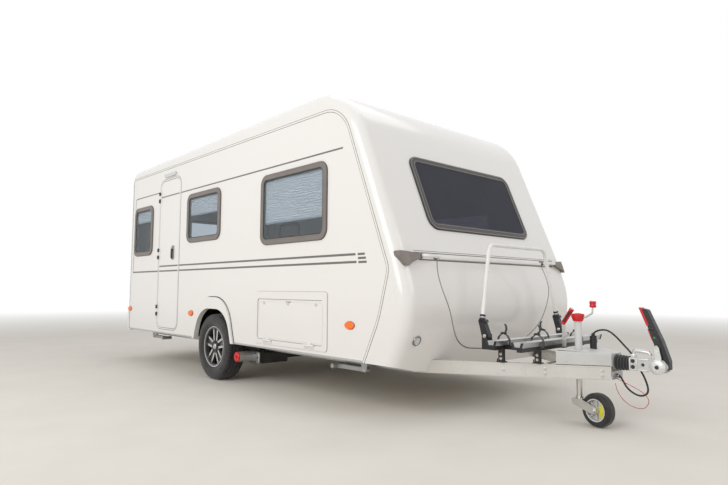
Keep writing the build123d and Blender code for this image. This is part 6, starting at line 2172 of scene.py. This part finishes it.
@dataclass
class RackFittings:
    """Shoes, end caps, straps, bolts and clamp plates of the bicycle rack.

    Attributes:
        bars: X of the two channels.
        top: Height of the channels' floor.
        half: Half the channels' length.
        foot: X and Z of the hoop's pivots.
        foot_half: Y of the pivots.
        strap_places: X and Y of each strap.
        strap_width: Width of the webbing.
    """

    bars: Flat = (2258, 2470)
    top: float = 535
    half: float = 600
    foot: Flat = (2184, 600)
    foot_half: float = 536
    strap_places: Sequence[Flat] = ((2258, -430), (2258, 120), (2470, -330), (2470, 250))
    strap_width: float = 24

    def sleeves(self, made: Form) -> None:
        """Black plastic shoes and collars on the hoop's legs."""
        for hand in (-1, 1):
            y = hand * self.foot_half
            for r, z in ((20, 738), (22, 714)):
                profile = ((15.2, 0), (r, 0), (r + 1, 2), (r + 1, 12), (r, 14), (15.2, 14))
                turned(made, profile, self.leg(hand, z), 28, closed=True)
            side_plate(made, [(2124, 698), (2190, 698), (2178, 718), (2126, 718)], y - 22, y + 22, 3)

    def leg(self, hand: int, z: float) -> Matrix:
        """Frame on a leg of the hoop at a height, with its third axis up the leg."""
        low, high = Vector((2148, hand * 536, 730)), Vector((2122, hand * 400, 1277))
        share = (z - low.z) / (high.z - low.z)
        return facing((low + (high - low) * share) * MM, high - low, AHEAD)

    def caps(self, made: Form) -> None:
        """Black end caps in the channels."""
        outline = [(-44, 38), (-32, -2), (32, -2), (44, 38), (34, 38), (24, 7), (-24, 7), (-34, 38)]
        for x in self.bars:
            for hand in (-1, 1):
                place = shift(x, hand * self.half, self.top) @ XZ_PLANE
                plate(made, outline, place, *sorted((hand * 14, hand * -3)), 1)

    def samples(self, x: float, y: float, path: Sequence[Flat], closed: bool) -> list[Sample]:
        """Points of a strap's run over a channel, with their normals.

        Args:
            x: X of the channel.
            y: Y of the strap.
            path: Run as X from the channel's middle and Z from its floor.
            closed: Whether the run closes on itself.

        Returns:
            Points and normals.
        """
        last = len(path) - 1
        made = []
        for index, (u, v) in enumerate(path):
            before = path[index - 1] if index or closed else path[0]
            after = path[(index + 1) % len(path)] if index < last or closed else path[last]
            way = Vector((after[0] - before[0], 0, after[1] - before[1])).normalized()
            made.append((metres(x + u, y, self.top + v), sideways(1).cross(way)))
        return made

    def straps(self, made: Form) -> None:
        """Ratchet straps looped over the channels."""
        right = ((-46, 8), (-49, 34), (-42, 58), (-20, 76), (6, 80), (30, 68), (45, 44))
        path = (*right, (50, 20), (46, -4), (30, -12), (0, -14), (-30, -12), (-44, -4))
        for x, y in self.strap_places:
            band(made, self.samples(x, y, path, True), self.strap_width, 2, True, 0.6)

    def strap_ends(self, made: Form) -> None:
        """Loose ends of the straps that stand up from their buckles."""
        for x, y, lean in ((2258, -430, 1), (2470, -330, 1), (2258, 120, -1)):
            path = ((0, 82), (14 * lean, 92), (22 * lean, 112), (20 * lean, 134), (10 * lean, 150))
            band(made, self.samples(x, y, path, False), self.strap_width, 2, False, 0.6)

    def buckles(self, made: Form) -> None:
        """Buckles of the straps."""
        for x, y in self.strap_places:
            place = shift(x - 2, y, self.top + 81)
            brick(made, (-19, -16, -3), (19, 16, 6), 2.5, place)
            brick(made, (-15, -10, 4), (9, 10, 11), 2.5, place)

    def clamps(self, made: Form) -> None:
        """Bolts of the posts, the cross rails and the hoop's pivots."""
        for hand in (-1, 1):
            for x in self.bars:
                y = hand * (beam_y(x) - 24)
                for z in (438, 470):
                    bolts(made, [(metres(x, y + hand * 14, z), sideways(hand))], 8, 4.5)
                for dy in (-60, 60):
                    place = shift(x, hand * (430 + dy), self.top + 5)
                    turned(made, ((8, -1), (8, 1.8), (5.6, 3.4), (0, 3.6)), place, 18)
            y = hand * self.foot_half
            for side in (-1, 1):
                spot = metres(self.foot[0], y + side * 33, self.foot[1])
                bolts(made, [(spot, sideways(side))], 10, 6)

    def feet(self, made: Form) -> None:
        """Clamp plates of the posts on the beams, with stud ends."""
        for hand in (-1, 1):
            for x in self.bars:
                y = hand * (beam_y(x) - 24)
                brick(made, (x - 30, y - 26, 412.2), (x + 30, y + 26, 420), 2)
                for dx in (-24, 24):
                    spindle(made, (x + dx, y + hand * 19, 416), (x + dx, y + hand * 19, 440), 4.5, 0.8, 14)

    def build(self) -> None:
        """Makes every fitting."""
        shape("rack_hoop_shoes", self.sleeves, BLACK_PLASTIC, Body.HOOP)
        shape("rack_channel_caps", self.caps, BLACK_PLASTIC)
        shape("rack_straps", self.straps, STRAP_WEB)
        shape("rack_strap_ends", self.strap_ends, STRAP_WEB)
        shape("rack_strap_buckles", self.buckles, BLACK_PLASTIC)
        shape("rack_bolts", self.clamps, BRIGHT_ZINC)
        shape("rack_clamp_feet", self.feet, BLACK_PAINT)


# Underbody


@dataclass
class MoverFittings:
    """Knurled sleeves, end caps, cover plates and bolts of the wheel drive's rollers.

    Attributes:
        roller: X and Z of the rollers' middle line.
    """

    roller: Flat = (-340, 265)

    def grip(self, made: Form) -> None:
        """Knurled sleeve on the roller."""
        x, z = self.roller
        for hand in (-1, 1):
            place = facing(metres(x, hand * 950, z), sideways(hand))
            count = 30
            for index in range(count):
                bar_place = place @ Matrix.Rotation(2 * math.pi * index / count, 4, "Z")
                brick(made, (43.5, -1.8, 2), (47.5, 1.8, 168), 0.8, bar_place)

    def ends(self, made: Form) -> None:
        """Red end caps of the rollers."""
        x, z = self.roller
        for hand in (-1, 1):
            place = facing(metres(x, hand * 1125, z), sideways(hand))
            profile = (
                (45.2, -14), (47.6, -12), (47.6, 0), (44, 3.5), (30, 5.5), (28, 4), (16, 4), (14, 10),
                (0, 11),
            )
            turned(made, profile, place, 44)

    def shield(self, made: Form) -> None:
        """Silver cover of the gearbox, with its flange."""
        x, z = self.roller
        for hand in (-1, 1):
            outline = box_outline(x - 56, x + 118, z - 70, z + 44, 22)
            if hand < 0:
                place = shift(0, -936, 0) @ XZ_PLANE
                plate(made, outline, place, -4, 12, 4)
            else:
                turn = Matrix(((-1, 0, 0), (0, 0, 1), (0, 1, 0))).to_4x4()
                mirrored = [(-u, v) for u, v in reversed(outline)]
                plate(made, mirrored, shift(0, 936, 0) @ turn, -4, 12, 4)

    def fixings(self, made: Form) -> None:
        """Bolts of the cover and of the hanger."""
        x, z = self.roller
        for hand in (-1, 1):
            out = sideways(hand)
            for dx, dz in ((-44, -56), (-44, 30), (60, -56), (60, 30), (104, -12)):
                bolts(made, [(metres(x + dx, hand * 948, z + dz), out)], 6.5, 3.5)
            for dz in (40, 100):
                bolts(made, [(metres(x + 10, hand * 836, z + dz), out)], 8, 5)

    def build(self) -> None:
        """Makes every fitting."""
        shape("mover_roller_grip", self.grip, SATIN_ALUMINIUM)
        shape("mover_roller_caps", self.ends, RED_PLASTIC)
        shape("mover_gear_covers", self.shield, SATIN_ALUMINIUM)
        shape("mover_bolts", self.fixings, DULL_STEEL)


@dataclass
class SteadyFittings:
    """Bracket bolts, pin heads and stays of the corner steadies.

    Attributes:
        places: X of each steady, its side and the way its arm lies.
        y: Distance of the arms from the middle.
    """

    places: Sequence[tuple[float, int, int]] = ((1270, -1, -1), (1270, 1, -1), (-2880, -1, 1), (-2880, 1, 1))
    y: float = 885

    def fixings(self, made: Form) -> None:
        """Bolts that hold each bracket, and its pin heads."""
        for x, side, _ in self.places:
            for dx in (-46, 46):
                for dy in (-36, 36):
                    bolts(made, [(metres(x + dx, side * self.y + dy, 404), -UP)], 8, 5)
            for hand in (-1, 1):
                spot = metres(x, side * self.y + hand * 24.2, 292)
                turned(made, ((11, 0), (11, 2), (8, 4), (0, 4)), facing(spot, sideways(hand)), 22)

    def rear_plates(self, made: Form) -> None:
        """Diagonal stay between each bracket and the rail."""
        for x, side, ahead in self.places:
            stay_x = x + ahead * 30
            spindle(made, (stay_x, side * (self.y - 6), 398), (stay_x, side * (self.y - 50), 360), 7, 1, 16)

    def build(self) -> None:
        """Makes the fittings."""
        shape("steady_bracket_bolts", self.fixings, BRIGHT_ZINC)
        shape("steady_bracket_stays", self.rear_plates, ZINC)


@dataclass
class ChassisFittings:
    """Bolts and lightening holes' rims along the chassis rails, and the axle's bolts.

    Attributes:
        rail: Distance of the rails' outer face from the middle.
        axle_tube: X and Z of the axle tube.
    """

    rail: float = 830
    axle_tube: Flat = (-622, 268)

    def build(self) -> None:
        """Makes the bolts and the rims."""

        def fixings(made: Form) -> None:
            """Bolts of the cross members and of the axle's brackets."""
            for hand in (-1, 1):
                out = sideways(hand)
                for x in (-2700, -1500, 900):
                    for z in (345, 384):
                        bolts(made, [(metres(x, hand * self.rail, z), out)], 8, 5)
                for dx in (-48, 48):
                    for z in (340, 388):
                        bolts(made, [(metres(self.axle_tube[0] + dx, hand * (self.rail + 8), z), out)], 9, 6)

        def rims(made: Form) -> None:
            """Pressed rims on the rails' webs."""
            for hand in (-1, 1):
                for x in (-2350, -2100, -1850, -150, 120, 390):
                    place = facing(metres(x, hand * self.rail, 364), sideways(hand))
                    profile = ((26, -0.4), (25, 2.2), (22, 2.6), (19, 1.4), (18.6, 0.3), (0, 0.3))
                    turned(made, profile, place, 32)

        shape("chassis_bolts", fixings, BRIGHT_ZINC)
        shape("chassis_pressings", rims, ZINC)


# Ends and roof


@dataclass
class RearFittings:
    """Lamp bezels and lens screws of the rear bumper.

    Attributes:
        face: X of the bumper's face.
        lamp: Inner, outer, lower and upper edge of a lamp.
    """

    face: float = -3240
    lamp: Box = (720, 1080, 485, 635)

    def build(self) -> None:
        """Makes the trims."""

        def bezels(made: Form) -> None:
            """Raised frame round each lamp, just inside the bumper's face."""
            ring = densify(grown(self.lamp, 8, -3), 60, True)
            for hand in (-1, 1):
                samples = [(metres(self.face + 2, hand * y, z), -AHEAD) for y, z in ring]
                band(made, samples, 5, 1.6, True, 1)

        def screws(made: Form) -> None:
            """Lens screws."""
            for hand in (-1, 1):
                for y in (732, 960, 1068):
                    place = facing(metres(self.face + 0.6, hand * y, 560), -AHEAD)
                    turned(made, ((4.5, -0.4), (4.5, 0.4), (3.6, 0.6), (0, 0.6)), place, 16)

        shape("rear_lamp_bezels", bezels, CHARCOAL_PLASTIC)
        shape("rear_lamp_screws", screws, BRIGHT_ZINC)


@dataclass
class RoofFittings:
    """Base frames and hinge blocks of the roof lights.

    Attributes:
        lights: Rear end, front end and half width of each roof light.
        rear: X and Z of the roof's rear edge.
        slope: Rise of the roof over its length.
    """

    lights: Sequence[Point] = ((-480, 180, 480), (-2500, -2100, 200))
    rear: Flat = (-3172, 2520)
    slope: float = (2578 - 2520) / (1315 + 3172)

    def height(self, x: float) -> float:
        """Height of the roof's middle line at a value of X."""
        return self.rear[1] + self.slope * (x - self.rear[0])

    def build(self) -> None:
        """Makes the frames."""

        def frames(made: Form) -> None:
            """White frame that each dome stands on."""
            normal = Vector((-self.slope, 0, 1)).normalized()
            for x_low, x_high, half in self.lights:
                ring = densify(box_outline(x_low - 14, x_high + 14, -half - 14, half + 14, 70), 60, True)
                band(made, [(metres(x, y, self.height(x)), normal) for x, y in ring], 26, 11, True)

        def catches(made: Form) -> None:
            """Hinge blocks at the rear edge of the domes."""
            for x_low, _, half in self.lights:
                for hand in (-1, 1):
                    y = hand * half * 0.6
                    z = self.height(x_low)
                    brick(made, (x_low - 16, y - 24, z + 2), (x_low + 8, y + 24, z + 22), 4)

        shape("roof_light_frames", frames, GELCOAT)
        shape("roof_light_hinges", catches, GREY_PLASTIC)


@dataclass
class LampTrims:
    """Feet of the side lamps and rings round the front reflectors.

    Attributes:
        side_lamps: X and Z of the side lamps.
        reflector: Y and Z of a front reflector.
    """

    side_lamps: Sequence[Flat] = ((1383, 660), (-1280, 660), (-3074, 660))
    reflector: Flat = (1001, 573)

    def build(self, shell: Shell) -> None:
        """Makes the feet and the rings."""

        def rims(made: Form) -> None:
            """Thin dark foot round each side lamp."""
            for side in Side:
                wall = Wall(side)
                for x, z in self.side_lamps:
                    turns = (math.pi * k / 24 for k in range(48))
                    ring = [(x + 55.5 * math.cos(a), z + 30.5 * math.sin(a)) for a in turns]
                    band(made, wall.samples(ring), 3.2, 2, True)

        def chrome(made: Form) -> None:
            """Silver ring and dark gap round each front reflector."""
            for hand in (-1, 1):
                y, z = self.reflector
                hit = shell.cast(metres(RAY_START, hand * y, z), -AHEAD)
                if hit:
                    place = facing(hit[0], hit[1])
                    profile = ((29, -3), (29, 9), (31, 11), (36.5, 11), (38.5, 8), (38.5, -3))
                    turned(made, profile, place, 48, closed=True)

        shape("side_lamp_feet", rims, SEALANT)
        shape("front_reflector_rings", chrome, DARK_CHROME)


# Inside


@dataclass
class Cushion:
    """A box cushion with crowned top, sides pulled in between its corners, and piping.

    Attributes:
        name: Piece name.
        x: Rear and front ends.
        y: Right and left ends.
        z: Foot and highest point.
        parts: Cushions side by side along Y.
        corner: Corner radius in plan.
        pull: How far each side is pulled in at its middle.
        crown: How much the middle of the top stands above its edge.
    """

    name: str
    x: Flat
    y: Flat
    z: Flat
    parts: int
    corner: float = 42
    pull: float = 9
    crown: float = 30

    def plan(self, y_low: float, y_high: float, inset: float) -> list[Flat]:
        """Outline of one cushion, pulled in between its corners."""
        x_low, x_high = self.x
        ring = densify(box_outline(x_low, x_high, y_low, y_high, self.corner), 28, True)
        middle = Vector(((x_low + x_high) / 2, (y_low + y_high) / 2))
        half = Vector(((x_high - x_low) / 2, (y_high - y_low) / 2))
        shaped = []
        for u, v in ring:
            a, b = (u - middle.x) / half.x, (v - middle.y) / half.y
            draw = self.pull * (1 - min(abs(a), abs(b)) ** 2)
            scale_u = (half.x - inset - (draw if abs(a) > abs(b) else 0)) / half.x
            scale_v = (half.y - inset - (draw if abs(b) > abs(a) else 0)) / half.y
            shaped.append((middle.x + (u - middle.x) * scale_u, middle.y + (v - middle.y) * scale_v))
        return shaped

    def slabs(self) -> list[Flat]:
        """Y ends of the cushions."""
        step = (self.y[1] - self.y[0]) / self.parts
        return [(self.y[0] + k * step + 2, self.y[0] + (k + 1) * step - 2) for k in range(self.parts)]

    def form(self, made: Form) -> None:
        """Closed crowned form of every cushion."""
        low, high = self.z
        edge = high - self.crown
        for y_low, y_high in self.slabs():
            levels = [
                (16, low), (6, low + 3), (2.5, low + 14), (0.8, (low + edge) / 2), (2.5, edge - 12),
                (7, edge), (20, edge + 9),
            ]
            reach = (self.x[1] - self.x[0]) / 2
            levels += [
                (inset, edge + self.crown * (1 - (1 - inset / reach) ** 2.4)) for inset in (60, 110, 170, 230)
            ]
            plans = [[metres(*p, z) for p in self.plan(y_low, y_high, inset)] for inset, z in levels]
            rings = [[made.verts.new(spot) for spot in plan] for plan in plans]
            bridge(made, rings, around=True, wrap=False, caps=True)

    def piping(self, made: Form) -> None:
        """Sewn cord along the upper and lower edge."""
        low, high = self.z
        for y_low, y_high in self.slabs():
            for inset, z in ((4.5, low + 7.5), (4.5, high - self.crown - 4)):
                points = [(*p, z) for p in self.plan(y_low, y_high, inset)]
                points = points + points[:1]
                along(points, 2.6, made, 8)

    def build(self) -> None:
        cloth = shape(self.name, self.form, CUSHION_CLOTH, smooth_deg=60)
        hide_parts("interior_cushions")
        shape(f"{self.name}_piping", self.piping, PIPING_CORD, smooth_deg=80)


CUSHIONS = (
    Cushion("bed_cushions", (-3074, -2426), (-1082, 1082), (901, 1049), 3),
    Cushion("bench_cushions", (1106, 1589), (-1022, 1022), (901, 1039), 3),
)


@dataclass
class CabinetFronts:
    """Doors, drawers, knobs, worktop lip and sink of the kitchen, and doors of the bed bases.

    Attributes:
        kitchen: Rear end, front end, Y of the aisle face and height of the kitchen.
    """

    kitchen: Box = (-300, 900, 569.7, 1300)

    def build(self) -> None:
        """Makes the fronts."""
        x_low, x_high, y, top = self.kitchen
        step = (x_high - x_low) / 3

        def doors(made: Form) -> None:
            """Door and drawer fronts with rounded edges."""
            for index in range(3):
                start = x_low + index * step
                brick(made, (start + 8, y - 16, 500), (start + step - 8, y - 0.4, 1010), 4)
                brick(made, (start + 8, y - 16, 1026), (start + step - 8, y - 0.4, 1250), 4)
            for low, high in ((-1000, -345), (-330, 330), (345, 1000)):
                brick(made, (-2419.6, low, 500), (-2405, high, 860), 4)

        def knobs(made: Form) -> None:
            """Push button locks."""
            for index in range(3):
                start = x_low + index * step
                for z in (960, 1138):
                    place = facing(metres(start + step / 2, y - 16, z), sideways(-1))
                    turned(made, ((14, -1), (14, 5), (12, 7), (8, 7), (7, 5), (0, 5)), place, 28)
            for mid in (-670, 0, 670):
                place = facing(metres(-2405, mid, 820), AHEAD)
                turned(made, ((14, -1), (14, 5), (12, 7), (8, 7), (7, 5), (0, 5)), place, 28)

        def edge(made: Form) -> None:
            """Worktop's lip along the aisle."""
            brick(made, (x_low - 6, y - 22, top - 30), (x_high + 6, y + 4, top + 3), 6)

        def basin(made: Form) -> None:
            """Round sink with a rim, and its tap."""
            place = shift(650, y + 250, top)
            turned(made, ((190, 0), (188, 4), (176, 4), (170, 0.4), (60, 0.2), (0, 0.2)), place, 56)
            path = ((460, 0), (460, 150), (430, 178), (360, 180), (340, 160))
            along([(650, y + dy, top + dz) for dy, dz in path], 10, made, 16)

        shape("cabinet_fronts", doors, WOOD_FOIL)
        shape("cabinet_knobs", knobs, BRIGHT_ZINC)
        shape("worktop_lip", edge, WORKTOP)
        shape("kitchen_sink", basin, SATIN_ALUMINIUM)


SKIN_NODES = (
    "side_wall_right", "side_wall_left", "front_panel_upper", "front_panel_lower", "front_locker_lid",
    "rear_panel", "roof",
)


def main() -> None:
    """Builds the caravan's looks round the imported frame."""
    logging.basicConfig(level=logging.INFO, format="%(message)s")
    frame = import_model()
    nodes = frame["nodes"]
    PhotoCamera().build()
    for cord in (ROAD_CABLE, BREAKAWAY_CABLE):
        cord.build(nodes)
    Studio().build()
    dress_nodes(nodes)
    for split in SPLITS:
        paint_faces(nodes[split.node], split.finishes, split.choose)
    shell = Shell(nodes, SKIN_NODES)
    SeamTrims().build()
    WallFilms(Side.RIGHT, door=(-2190, -1645)).build()
    WallFilms(Side.LEFT).build()
    EntranceDoor().build()
    ServiceHatch().build()
    Windows().build()
    FrontFittings().build(shell)
    RoadWheel(Side.RIGHT, Body.WHEEL_RIGHT).build()
    RoadWheel(Side.LEFT, Body.WHEEL_LEFT).build()
    JockeyFittings().build()
    CouplingFittings().build()
    DrawbarFittings().build()
    RackFittings().build()
    MoverFittings().build()
    SteadyFittings().build()
    ChassisFittings().build()
    RearFittings().build()
    RoofFittings().build()
    LampTrims().build(shell)
    for cushion in CUSHIONS:
        cushion.build()
    CabinetFronts().build()
    bpy.context.view_layer.update()


if __name__ == "__main__":
    main()
